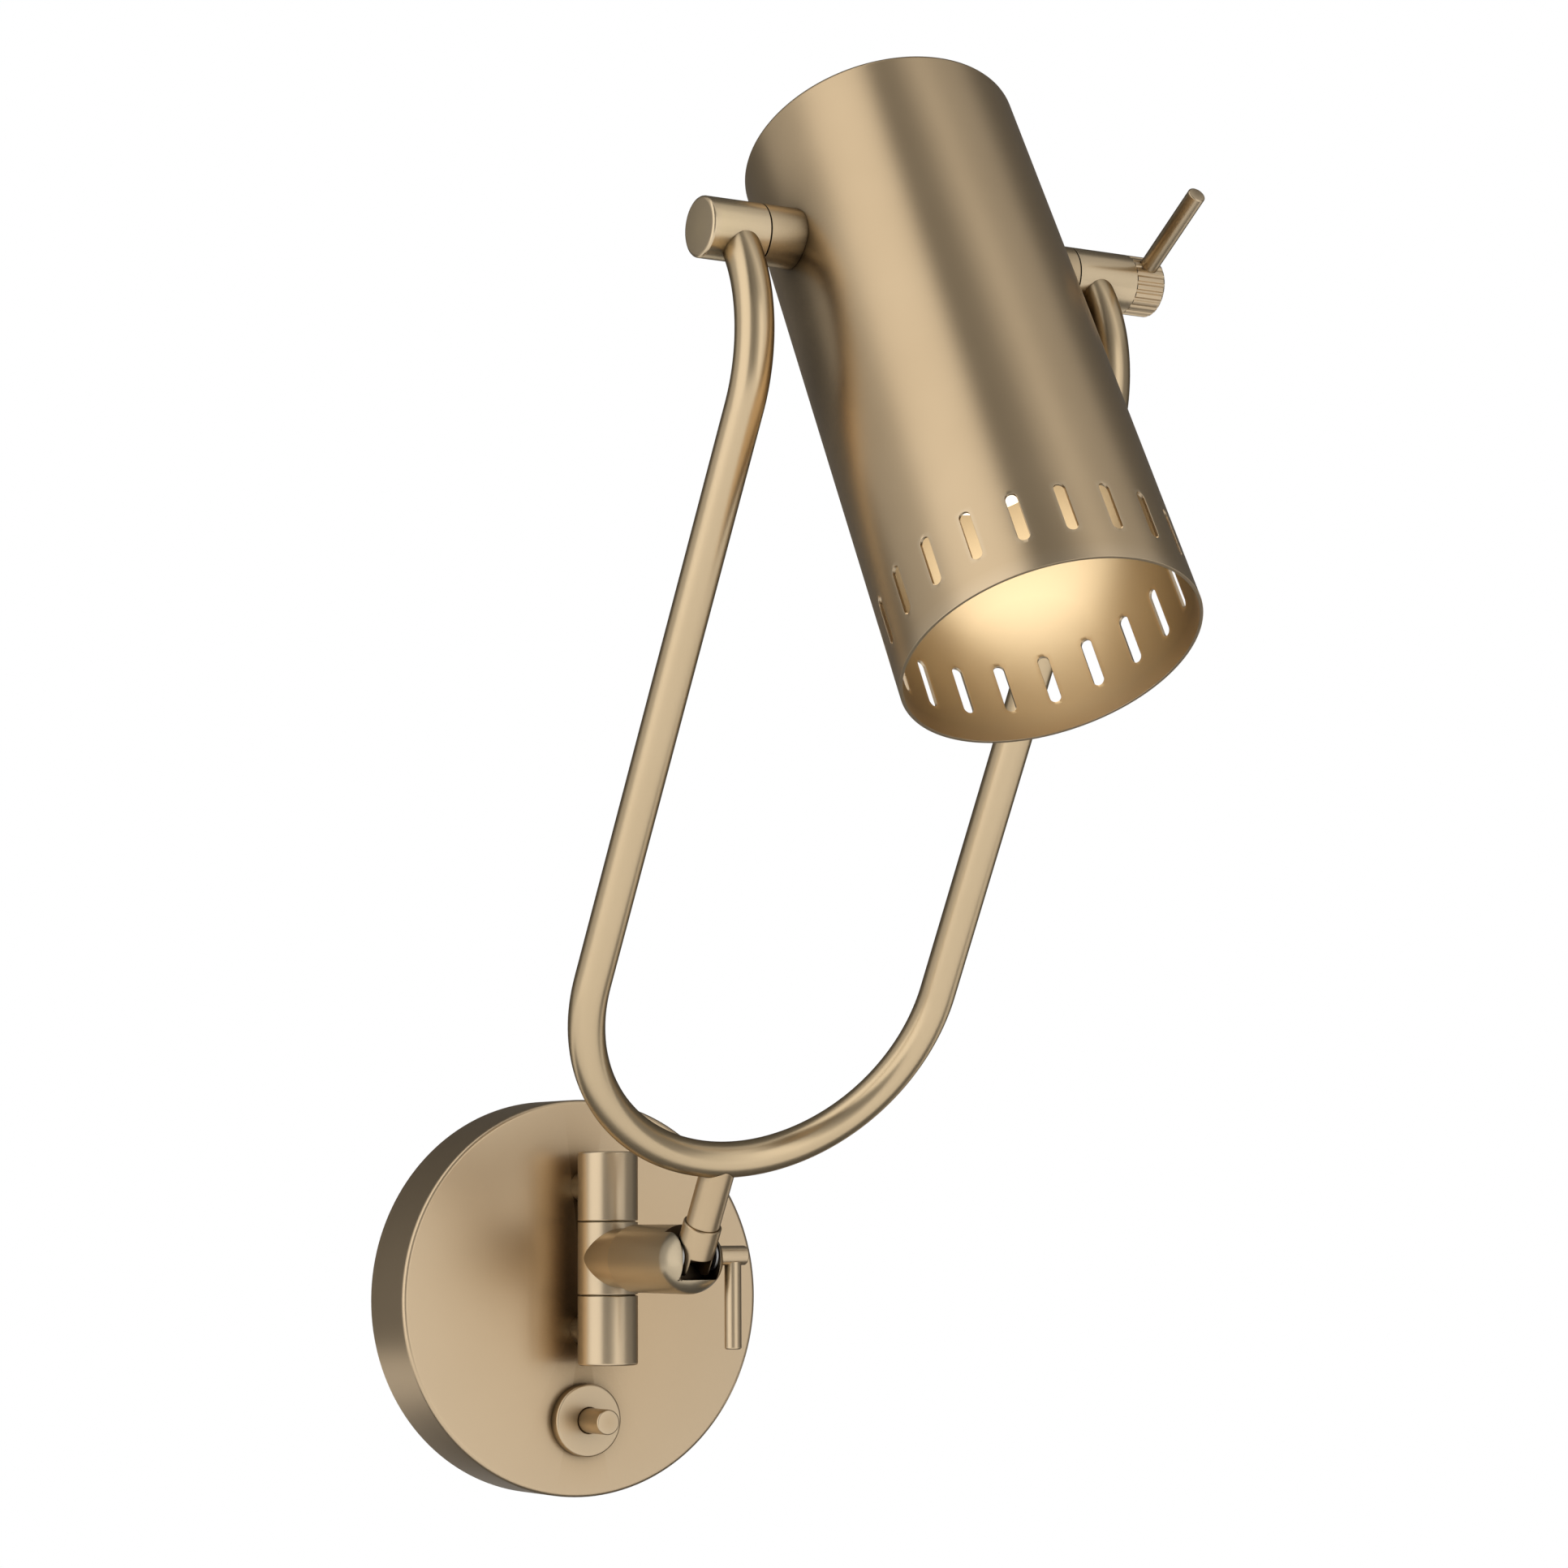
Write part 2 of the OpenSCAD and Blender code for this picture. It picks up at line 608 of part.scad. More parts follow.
// Clamp screw: a round head on the right, its shank through the foot into the left cheek
module clamp_screw() color(BRASS) at_tilt() difference() {
    union() {
        leftwards(-cheek_seat - loose_fit) cylinder(d = clamp_screw_d, h = 2 * cheek_seat);
        rightwards(cheek_seat + loose_fit)
            turned(clamp_head_d, clamp_head_out - cheek_seat - loose_fit, clamp_edge);
    }
    translate([clamp_rod_x, 0, -clamp_head_d]) {
        cylinder(d = rod_tail_d + 2 * running_fit, h = clamp_head_d);
        cylinder(d = clamp_rod_d + loose_fit, h = clamp_head_d / 2 + clamp_rod_seat);
    }
}

module clamp_rod() color(BRASS) at_tilt() translate([clamp_rod_x, 0, 0]) {
    translate([0, 0, -clamp_head_d / 2 + clamp_rod_seat - loose_fit]) mirror([0, 0, 1])
        turned(clamp_rod_d, clamp_rod_len - clamp_head_d / 2 + clamp_rod_seat - loose_fit, clamp_edge);
    translate([0, 0, -clamp_head_d / 2]) cylinder(d = rod_tail_d, h = clamp_head_d / 2 - loose_fit);
}

// Spring washers on the foot's two flats
module foot_washers() color(STEEL) at_tilt() {
    t = elbow_slot_w / 2 - foot_flat_half - 2 * loose_fit;
    leftwards(foot_flat_half) washer(foot_seat_d - 2 * loose_fit, clamp_hole_d, t);
    rightwards(foot_flat_half) washer(foot_seat_d - 2 * loose_fit, clamp_hole_d, t);
}

// Foot of the arm: hollow, round under the tilt axis, with a window for the leads in front
module arm_foot() color(BRASS) arm_frame() difference() {
    union() {
        turned(foot_d, foot_h, foot_chamfer);
        intersection() {
            translate([0, 0, -foot_d]) cylinder(d = foot_d, h = foot_d);
            leftwards(-foot_d) cylinder(d = foot_d, h = 2 * foot_d);
        }
    }
    translate([0, 0, -foot_d]) cylinder(d = foot_bore_d, h = foot_d + foot_h - stem_spigot_len);
    translate([0, 0, foot_h - stem_spigot_len - loose_fit])
        cylinder(d = stem_spigot_d + 2 * running_fit, h = stem_spigot_len + overrun);
    translate([-foot_window_w / 2, -foot_d, -foot_d])
        cube([foot_window_w, foot_d, foot_d + foot_window_top]);
    leftwards(-foot_d) cylinder(d = clamp_hole_d, h = 2 * foot_d);
    leftwards(foot_flat_half) cylinder(d = foot_seat_d, h = foot_d);
    rightwards(foot_flat_half) cylinder(d = foot_seat_d, h = foot_d);
}

// Solid shape of the yoke's bottom bend, for cutting the stem to it
module u_bend(r) translate([0, 0, u_centre]) rotate([90, 0, 0]) rotate([0, 0, 180])
    rotate_extrude(angle = 180) translate([yoke_half_w, 0]) circle(r = r);

module arm_stem() color(BRASS) arm_frame() difference() {
    union() {
        translate([0, 0, foot_h]) cylinder(d = stem_d, h = yoke_low - foot_h);
        translate([0, 0, foot_h - stem_spigot_len])
            cylinder(d = stem_spigot_d, h = stem_spigot_len + overrun);
    }
    translate([0, 0, foot_h - stem_spigot_len - overrun]) cylinder(d = stem_bore_d, h = yoke_low);
    u_bend(tube_r + braze_gap);
}

// The bend at an arm's top, drawn for the right side: a full one ends on the pivot's axis
module arm_bend(r, stop) translate([yoke_half_w, bend_r, bend_start]) rotate([90, 0, -90])
    rotate_extrude(angle = top_bend - stop / bend_r * 180 / PI) translate([bend_r, 0]) circle(r = r);

module yoke_side(r, stop) {
    translate([yoke_half_w, 0, u_centre]) cylinder(r = r, h = bend_start - u_centre);
    arm_bend(r, stop);
}

module yoke_run(r, past) {
    u_bend(r);
    yoke_side(r, tube_stop_right - past);
    mirror([1, 0, 0]) yoke_side(r, tube_stop - past);
}

module yoke_tube() color(BRASS) arm_frame() difference() {
    yoke_run(tube_r, 0);
    yoke_run(tube_bore_r, overrun);
    translate([0, 0, yoke_low - tube_d]) cylinder(d = stem_port_d, h = tube_d);
}

module left_pivot_barrel() color(BRASS) difference() {
    at_pivot() leftwards(barrel_start) cylinder(d = barrel_d, h = left_end - end_cap_t - barrel_start);
    at_pivot() leftwards(barrel_start - overrun) cylinder(d = pin_hole_d, h = web_t + 2 * overrun);
    at_pivot() leftwards(barrel_start + web_t) cylinder(d = cavity_d, h = left_barrel_len);
    arm_frame() mirror([1, 0, 0]) arm_bend(tube_r + braze_gap, cavity_d * cavity_depth_share);
}

module left_end_cap() color(BRASS) at_pivot() {
    leftwards(left_end - end_cap_t) turned(barrel_d, end_cap_t, barrel_edge);
    leftwards(left_end - 2 * end_cap_t + overrun) cylinder(d = cavity_d - 2 * running_fit, h = end_cap_t);
}

module right_pivot_barrel() color(BRASS) difference() {
    at_pivot() rightwards(barrel_start) cylinder(d = barrel_d, h = right_end - barrel_start);
    at_pivot() rightwards(barrel_start - overrun)
        cylinder(d = pin_hole_d, h = right_barrel_len + 2 * overrun);
    arm_frame() arm_bend(tube_r + braze_gap, 0);
}

module pivot_washer()
    washer(barrel_d - 2 * knuckle_edge, pin_hole_d + loose_fit, pivot_washer_t);

module pivot_washers() color(BLACK) at_pivot() {
    leftwards(pivot_seam - pivot_washer_t / 2) pivot_washer();
    rightwards(pivot_seam - pivot_washer_t / 2) pivot_washer();
}

// A boss between the shade's side and its pivot barrel, cut to the shade's curve
module shade_boss() difference() {
    rightwards(shade_r(0) - barrel_r) cylinder(d = barrel_d, h = boss_end - shade_r(0) + barrel_r);
    rightwards(0) cylinder(d = pin_hole_d, h = pivot_seam);
    shade_outside(braze_gap);
}

module shade_outside(gap) translate([0, 0, -shade_below])
    cylinder(r1 = shade_rim_r + gap, r2 = shade_top_r + gap, h = shade_len);

module left_boss() color(BRASS) shade_frame() mirror([1, 0, 0]) shade_boss();
module right_boss() color(BRASS) shade_frame() shade_boss();

// Hollow nipple through the left boss: the leads pass through it
module pivot_nipple() color(STEEL) shade_frame() leftwards(nipple_in)
    washer(pivot_pin_d, nipple_bore_d, nipple_out - nipple_in);

module pivot_nuts() color(STEEL) shade_frame() {
    leftwards(leg_in - strap_t - pivot_nut_t) hex_nut(pivot_nut_af, pivot_nut_t, pin_hole_d);
    leftwards(barrel_start + web_t + pivot_washer_t) hex_nut(pivot_nut_af, pivot_nut_t, pin_hole_d);
}

// Bolt through the right boss and barrel into the fluted knob
module pivot_bolt() color(STEEL) shade_frame() {
    rightwards(leg_in - strap_t - bolt_head_t)
        cylinder(d = bolt_head_af / cos(30), h = bolt_head_t, $fn = 6);
    rightwards(leg_in - strap_t) cylinder(d = pivot_pin_d, h = bolt_len);
}

module fluted_knob() color(BRASS) at_pivot() rotate([lever_lean, 0, 0]) difference() {
    rightwards(knob_start) turned(barrel_d, knob_len, knob_edge);
    rightwards(knob_start - overrun) cylinder(d = pin_hole_d, h = knob_len - knob_blind + overrun);
    for (i = [0 : flute_count - 1]) rotate([(i + 1 / 2) * 360 / flute_count, 0, 0])
        translate([0, 0, barrel_r + flute_out]) rightwards(knob_start - overrun)
            cylinder(d = flute_d, h = knob_len + 2 * overrun);
    translate([lever_x, 0, pivot_pin_d / 2 + lever_seat])
        cylinder(d = lever_tail_d + 2 * running_fit, h = barrel_r);
    translate([lever_x, 0, barrel_r - lever_seat]) cylinder(d = lever_d + 2 * running_fit, h = barrel_r);
}

module clamp_lever() color(BRASS) at_pivot() rotate([lever_lean, 0, 0]) translate([lever_x, 0, 0]) {
    translate([0, 0, barrel_r - lever_seat]) turned(lever_d, lever_len - barrel_r + lever_seat, lever_edge);
    translate([0, 0, pivot_pin_d / 2 + lever_seat + loose_fit])
        cylinder(d = lever_tail_d, h = barrel_r - pivot_pin_d / 2 - 2 * lever_seat);
}

// Shade: a spun tube with a closed end, slightly wider at its rim, with a ring of slots
module shade_shell() color(BRASS) shade_frame() difference() {
    rotate_extrude() shade_wall_outline();
    for (i = [0 : slot_count - 1]) rotate([0, 0, i * 360 / slot_count])
        translate([0, -shade_top_r / 2, -shade_below + slot_up + slot_len / 2])
            outwards() linear_extrude(shade_rim_r) slot_outline(slot_w, slot_len);
    leftwards(-shade_rim_d) cylinder(d = pin_hole_d, h = 2 * shade_rim_d);
}

module shade_wall_outline() polygon([
    [0, shade_above],
    [shade_top_r - shade_top_edge, shade_above],
    [shade_top_r - shade_top_edge * (1 - sin(30)), shade_above - shade_top_edge * (1 - cos(30))],
    [shade_top_r - shade_top_edge * (1 - sin(60)), shade_above - shade_top_edge * (1 - cos(60))],
    [shade_top_r, shade_above - shade_top_edge],
    [shade_rim_r, -shade_below],
    [shade_rim_r - shade_wall, -shade_below],
    [shade_top_r - shade_wall, shade_above - shade_top_edge],
    [shade_top_r - shade_top_edge, shade_above - shade_wall],
    [0, shade_above - shade_wall]]);

// Strap between the two pivots that carries the lamp holder
module holder_strap() color(STEEL) shade_frame() difference() {
    union() {
        translate([-leg_in, -strap_w / 2, holder_top]) cube([2 * leg_in, strap_w, strap_t]);
        for (s = [-1, 1]) translate([s * (leg_in - strap_t / 2) - strap_t / 2, -strap_w / 2, -strap_foot])
            cube([strap_t, strap_w, strap_foot + holder_top + strap_t]);
    }
    leftwards(-shade_rim_d) cylinder(d = pin_hole_d, h = 2 * shade_rim_d);
    translate([0, 0, holder_top - overrun])
        cylinder(d = holder_neck_d + 2 * running_fit, h = strap_t + 2 * overrun);
}

module holder_nut() color(STEEL) shade_frame() translate([0, 0, holder_top + strap_t])
    hex_nut(holder_nut_af, holder_nut_t, holder_neck_d + 2 * running_fit);

module lamp_holder() color(WHITE) shade_frame() translate([0, 0, holder_top]) difference() {
    union() {
        mirror([0, 0, 1]) turned(holder_d, holder_len, holder_edge);
        cylinder(d = holder_neck_d, h = strap_t + holder_nut_t + holder_edge);
    }
    translate([0, 0, -holder_len - overrun])
        cylinder(d = cap_d + 2 * contact_gap, h = holder_len - holder_base_t + overrun);
}

// Screw cap of the bulb, its thread shown as rounded rings
module bulb_cap() color(STEEL) shade_frame() rotate_extrude() difference() {
    polygon([[0, cap_top], [cap_contact_r, cap_top], [cap_root_r, cap_top - cap_slope],
        [cap_root_r, cap_bottom], [0, cap_bottom]]);
    polygon([[0, cap_top - cap_wall], [cap_contact_r - cap_wall, cap_top - cap_wall],
        [cap_root_r - cap_wall, cap_top - cap_slope - cap_wall],
        [cap_root_r - cap_wall, cap_bottom - overrun], [0, cap_bottom - overrun]]);
}

// Glass of the bulb: a round crown, then a hollow arc that runs into the straight neck
module bulb_glass() color(GLASS) shade_frame() rotate_extrude() difference() {
    bulb_outline(0, 0);
    bulb_outline(bulb_wall, overrun);
}

module bulb_outline(inset, past) polygon(concat(
    [for (i = [0 : crown_steps]) let (a = -90 + i * (90 + bulb_lean) / crown_steps)
        [(bulb_r - inset) * cos(a), bulb_mid + (bulb_r - inset) * sin(a)]],
    [for (i = [1 : hollow_steps]) let (a = 180 + bulb_lean * (1 - i / hollow_steps))
        [neck_r + hollow_r + (hollow_r + inset) * cos(a), neck_end + (hollow_r + inset) * sin(a)]],
    [[neck_r - inset, cap_bottom + past], [0, cap_bottom + past]]));

// Push switch: its threaded bushing through the backplate, held by a collar in front
module switch_body() color(BLACK) translate([0, 0, switch_z]) difference() {
    union() {
        translate([0, -face_inner + lock_nut_t + switch_body_len, 0]) outwards()
            cylinder(d = switch_body_d, h = switch_body_len);
        translate([0, -face_inner + lock_nut_t + overrun, 0]) outwards()
            cylinder(d = bushing_d, h = lock_nut_t + overrun + plate_wall + collar_t / 2);
        for (s = [-1, 1]) translate([s * switch_body_d / 4 - terminal_w / 2,
            -face_inner + lock_nut_t + switch_body_len - overrun, -terminal_t / 2])
            cube([terminal_w, terminal_len + overrun, terminal_t]);
    }
    translate([0, -face_inner + lock_nut_t + button_travel + overrun, 0]) outwards()
        cylinder(d = button_d + 2 * running_fit, h = plate_depth);
}

module switch_lock_nut() color(STEEL) translate([0, -face_inner + lock_nut_t, switch_z])
    outwards() hex_nut(lock_nut_af, lock_nut_t, bushing_d + 2 * running_fit);

module switch_collar() color(BRASS) translate([0, -plate_depth, switch_z]) outwards() difference() {
    turned(collar_d, collar_t, collar_edge);
    translate([0, 0, -overrun])
        cylinder(d = bushing_d + 2 * running_fit, h = overrun + collar_t / 2 + loose_fit);
    cylinder(d = button_d + 2 * loose_fit, h = collar_t + overrun);
}

module switch_button() color(BRASS) translate([0, -face_inner + lock_nut_t, switch_z]) outwards()
    turned(button_d, lock_nut_t + plate_wall + collar_t + button_out, button_edge);

// Twist-on connectors in the backplate, each over the end of one lead
module wire_connectors() color(ORANGE)
    for (s = [-1, 1]) translate([s * connector_x, -connector_y, connector_z])
        rotate([90 + 90 * s, 0, 0]) difference() {
            cylinder(d1 = connector_d, d2 = connector_tip_d, h = connector_len);
            translate([0, 0, -overrun]) cylinder(d = lead_d + 2 * lead_gap, h = connector_len / 2 + overrun);
        }

module live_lead() color(BLACK) lead(curve(
    [-connector_x, -connector_y, connector_mouth],
    [-connector_x, -connector_y, connector_z - connector_len],
    [-terminal_end - connector_len, terminal_mid_y, switch_z],
    [-terminal_end, terminal_mid_y, switch_z], lead_rings), lead_d, [0, 1, 0.3]);

module switched_lead() color(BLACK) lead(curve(
    [terminal_end, terminal_mid_y, switch_z],
    [terminal_end + connector_len, terminal_mid_y, switch_z],
    [-lead_side, post_end_y + lead_sweep, post_top_z],
    [-lead_side, post_end_y - lead_gap, post_top_z], lead_rings), lead_d, [0.2, 0.3, 1]);

module neutral_lead() color(WHITE) lead(curve(
    [connector_x, -connector_y, connector_z - lead_d],
    [connector_x, -connector_y, connector_z + connector_len],
    [lead_side, post_end_y + lead_sweep, post_top_z],
    [lead_side, post_end_y - lead_gap, post_top_z], lead_rings), lead_d, [0.1, 1, 0.3]);

module earth_lead() color(GREEN) lead(curve(
    [0, -bracket_t - earth_head_h / 2, earth_z - earth_head_d / 2 - lead_gap],
    [0, -bracket_t - earth_head_h / 2, hinge_rise],
    [0, -face_inner + post_nut_t / 2, hinge_rise],
    [0, -face_inner + post_nut_t / 2, hinge_rise - post_z + post_nut_af / 2 + lead_gap], lead_rings),
    lead_d, [1, 0, 0]);

// Twin lead inside the arm: it lies along the outer wall of the tube, up the left side
module yoke_lead() color(BLACK) arm_frame() lead(yoke_lead_path, twin_lead_d, [0.1, 1, 0.02]);

// Leads inside the shade, from the nipple up to the lamp holder's side
module lamp_leads() color(WHITE) shade_frame()
    for (s = [-1, 1]) lead(curve(
        [-nipple_in - lead_gap, s * lamp_lead_side, 0],
        [-nipple_in + lamp_lead_start, s * lamp_lead_side, 0],
        [-holder_d / 2 - lamp_lead_run, s * lamp_lead_side, holder_top - holder_base_t],
        [-holder_d / 2 - 2 * lead_gap, s * lamp_lead_side, holder_top - holder_base_t], lead_rings / 2),
        lamp_lead_d, [0.1, 1, 0]);

canopy_shell();
mounting_bracket();
canopy_grub_screws();
earth_screw();
upper_knuckle();
lower_knuckle();
post_nuts();
swing_pin();
switch_body();
switch_collar();
switch_lock_nut();
switch_button();
wire_connectors();
live_lead();
switched_lead();
neutral_lead();
earth_lead();
swing_washers();
swing_knuckle();
elbow();
clamp_screw();
clamp_rod();
foot_washers();
arm_foot();
arm_stem();
yoke_tube();
yoke_lead();
left_pivot_barrel();
left_end_cap();
right_pivot_barrel();
pivot_washers();
left_boss();
right_boss();
pivot_nipple();
pivot_bolt();
pivot_nuts();
shade_shell();
holder_strap();
holder_nut();
lamp_holder();
lamp_leads();
bulb_cap();
bulb_glass();
fluted_knob();
clamp_lever();
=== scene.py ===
"""Swing arm wall lamp in satin brass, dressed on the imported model.

A round backplate carries a vertical hinge. The hinge's stub holds a domed elbow,
in which the foot of a U-shaped arm turns. The arm carries a slotted tubular shade
between its two ends. All sizes are in metres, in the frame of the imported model:
the wall is the plane y = 0, the room is towards -Y, and up is +Z.
"""

import logging
import math
from dataclasses import dataclass
from enum import Enum
from typing import Any, Dict, List, Optional, Sequence, Tuple, Union

import bmesh
import bpy
from mathutils import Matrix, Vector


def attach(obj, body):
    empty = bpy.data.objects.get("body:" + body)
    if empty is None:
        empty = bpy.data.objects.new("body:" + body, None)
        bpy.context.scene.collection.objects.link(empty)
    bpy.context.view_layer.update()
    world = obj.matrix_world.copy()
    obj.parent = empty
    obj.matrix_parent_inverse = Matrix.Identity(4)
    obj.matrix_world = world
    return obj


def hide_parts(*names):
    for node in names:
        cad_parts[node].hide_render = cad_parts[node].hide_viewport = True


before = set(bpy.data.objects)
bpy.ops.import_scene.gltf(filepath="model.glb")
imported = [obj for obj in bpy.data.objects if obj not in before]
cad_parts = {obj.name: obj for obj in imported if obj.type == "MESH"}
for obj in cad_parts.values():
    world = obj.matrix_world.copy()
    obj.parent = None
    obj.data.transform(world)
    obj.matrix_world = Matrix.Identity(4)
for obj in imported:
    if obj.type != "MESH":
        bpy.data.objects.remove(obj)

log = logging.getLogger("wall_lamp")

MM = 0.001
Colour = Tuple[float, float, float]
Point = Tuple[float, float, float]
Outline = Sequence[Tuple[float, float, float]]
Look = Dict[str, Any]
Socket = bpy.types.NodeSocket


# Shader maths


class Term:
    """A value in a shader, on which Python sums and products can be written."""

    def __init__(self, sheet: "NodeSheet", socket: Socket) -> None:
        """Keep the output socket and the sheet it is drawn on."""
        self.sheet = sheet
        self.socket = socket

    def _math(self, operation: str, *values: "Number", clamp: bool = False) -> "Term":
        """Add one Math node.

        Args:
            operation: the node's operation.
            values: its inputs in order, terms or plain numbers.
            clamp: whether the result stays between 0 and 1.

        Returns:
            The node's result.
        """
        node = self.sheet.node("ShaderNodeMath", {"operation": operation, "use_clamp": clamp},
                               dict(enumerate(values)))
        return Term(self.sheet, node.outputs[0])

    def __add__(self, other: "Number") -> "Term":
        """Sum."""
        return self._math("ADD", self, other)

    def __sub__(self, other: "Number") -> "Term":
        """Difference."""
        return self._math("SUBTRACT", self, other)

    def __mul__(self, other: "Number") -> "Term":
        """Product."""
        return self._math("MULTIPLY", self, other)

    def __pow__(self, power: "Number") -> "Term":
        """Power."""
        return self._math("POWER", self, power)

    def clamped(self) -> "Term":
        """The same value held between 0 and 1."""
        return self._math("ADD", self, 0.0, clamp=True)

    def at_least(self, other: "Number") -> "Term":
        """The larger of the two."""
        return self._math("MAXIMUM", self, other)


Number = Union[Term, float]


class NodeSheet:
    """The node tree of one material or world."""

    def __init__(self, tree: bpy.types.NodeTree) -> None:
        """Start from an empty tree."""
        self.tree = tree
        tree.nodes.clear()

    def node(self, kind: str, settings: Optional[Dict[str, Any]] = None,
             inputs: Optional[Dict[Any, Any]] = None) -> bpy.types.Node:
        """Add any node.

        Args:
            kind: the node's type.
            settings: its properties, set first.
            inputs: values, terms or sockets for its inputs, by name or number.

        Returns:
            The new node.
        """
        made = self.tree.nodes.new(kind)
        for name, value in (settings or {}).items():
            setattr(made, name, value)
        for name, value in (inputs or {}).items():
            self.feed(made, name, value)
        return made

    def feed(self, node: bpy.types.Node, name: Any, value: Any) -> None:
        """Give one input of a node its value or link.

        Args:
            node: the node.
            name: the input's name or number.
            value: a term, a socket, a number, a colour or a vector.
        """
        socket = node.inputs[name]
        if isinstance(value, Term):
            self.tree.links.new(value.socket, socket)
        elif isinstance(value, Socket):
            self.tree.links.new(value, socket)
        elif socket.type == "RGBA" and len(value) == 3:
            socket.default_value = (*value, 1.0)
        else:
            socket.default_value = value

    def place(self, turn: Point = (0.0, 0.0, 0.0), centre: Point = (0.0, 0.0, 0.0)) -> Socket:
        """Object coordinates with their origin moved to a centre, then turned.

        Args:
            turn: angles in degrees that bring the piece's axis to +Z.
            centre: the pattern's origin, in metres.

        Returns:
            The vector output.
        """
        here = self.node("ShaderNodeTexCoord").outputs["Object"]
        moved = self.node("ShaderNodeVectorMath", {"operation": "SUBTRACT"}, {0: here, 1: centre}).outputs[0]
        return self.node("ShaderNodeMapping", {"vector_type": "POINT"},
                         {"Vector": moved, "Rotation": tuple(math.radians(a) for a in turn)}).outputs[0]

    def noise(self, vector: Socket, scale: float, detail: float = 2.0) -> Term:
        """A soft noise with about that many grains in each metre."""
        made = self.node("ShaderNodeTexNoise", {}, {"Vector": vector, "Scale": scale, "Detail": detail})
        return Term(self, made.outputs[0])

    def rings(self, vector: Socket, scale: float) -> Term:
        """Fine tool marks that run round +Z and drift a little.

        Args:
            vector: where they are looked up.
            scale: how many there are in each metre.

        Returns:
            Their height, from 0 to 1.
        """
        parts = self.node("ShaderNodeSeparateXYZ", {}, {0: vector})
        x, y, z = (Term(self, parts.outputs[i]) for i in range(3))
        radius = (x * x + y * y) ** 0.5
        drift = self.noise(vector, scale=22.0, detail=1.0) * 0.8
        turned = self.node("ShaderNodeCombineXYZ", {}, {0: radius * scale, 1: z * scale, 2: drift})
        return self.noise(turned.outputs[0], 1.0, 3.0)

    def mix(self, share: Number, first: Any, second: Any) -> Socket:
        """A colour between two colours, the first at share 0 and the second at 1."""
        made = self.node("ShaderNodeMix", {"data_type": "RGBA"}, {0: share, 6: first, 7: second})
        return made.outputs[2]

    def relief(self, height: Term, strength: float, depth: float, edge_radius: float = 0.0) -> Socket:
        """A fine relief, on edges that look rounded where they have a radius.

        Args:
            height: its height, from 0 to 1.
            strength: how strongly it shows.
            depth: how deep it is.
            edge_radius: the radius of the edges, or 0.

        Returns:
            The normal's output.
        """
        inputs: Look = {"Strength": strength, "Distance": depth, "Height": height}
        if edge_radius:
            rounded = self.node("ShaderNodeBevel", {"samples": 4}, {"Radius": edge_radius})
            inputs["Normal"] = rounded.outputs[0]
        return self.node("ShaderNodeBump", {}, inputs).outputs[0]


# Finishes


class Grain(Enum):
    """How the fine marks of a metal run."""

    LATHED = "round the piece's axis"
    DRAWN = "along the piece's length"
    PLAIN = "in no direction"


@dataclass(frozen=True)
class Finish:
    """A named finish, which makes its material once."""

    name: str

    def material(self) -> bpy.types.Material:
        """Make the material, or find it if it has been made.

        Returns:
            The material.
        """
        known = bpy.data.materials.get(self.name)
        if known is not None:
            return known
        made = bpy.data.materials.new(self.name)
        made.use_nodes = True
        sheet = NodeSheet(made.node_tree)
        shader = sheet.node("ShaderNodeBsdfPrincipled", {}, self.look(sheet))
        sheet.node("ShaderNodeOutputMaterial", {}, {0: shader.outputs[0]})
        return made

    def look(self, sheet: NodeSheet) -> Look:
        """The values of the shader's inputs, drawn on the sheet."""
        raise NotImplementedError

    def dress(self, piece: bpy.types.Object) -> None:
        """Put the material in every slot of a piece.

        Args:
            piece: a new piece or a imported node.
        """
        if not piece.material_slots:
            piece.data.materials.append(self.material())
        for slot in piece.material_slots:
            slot.material = self.material()


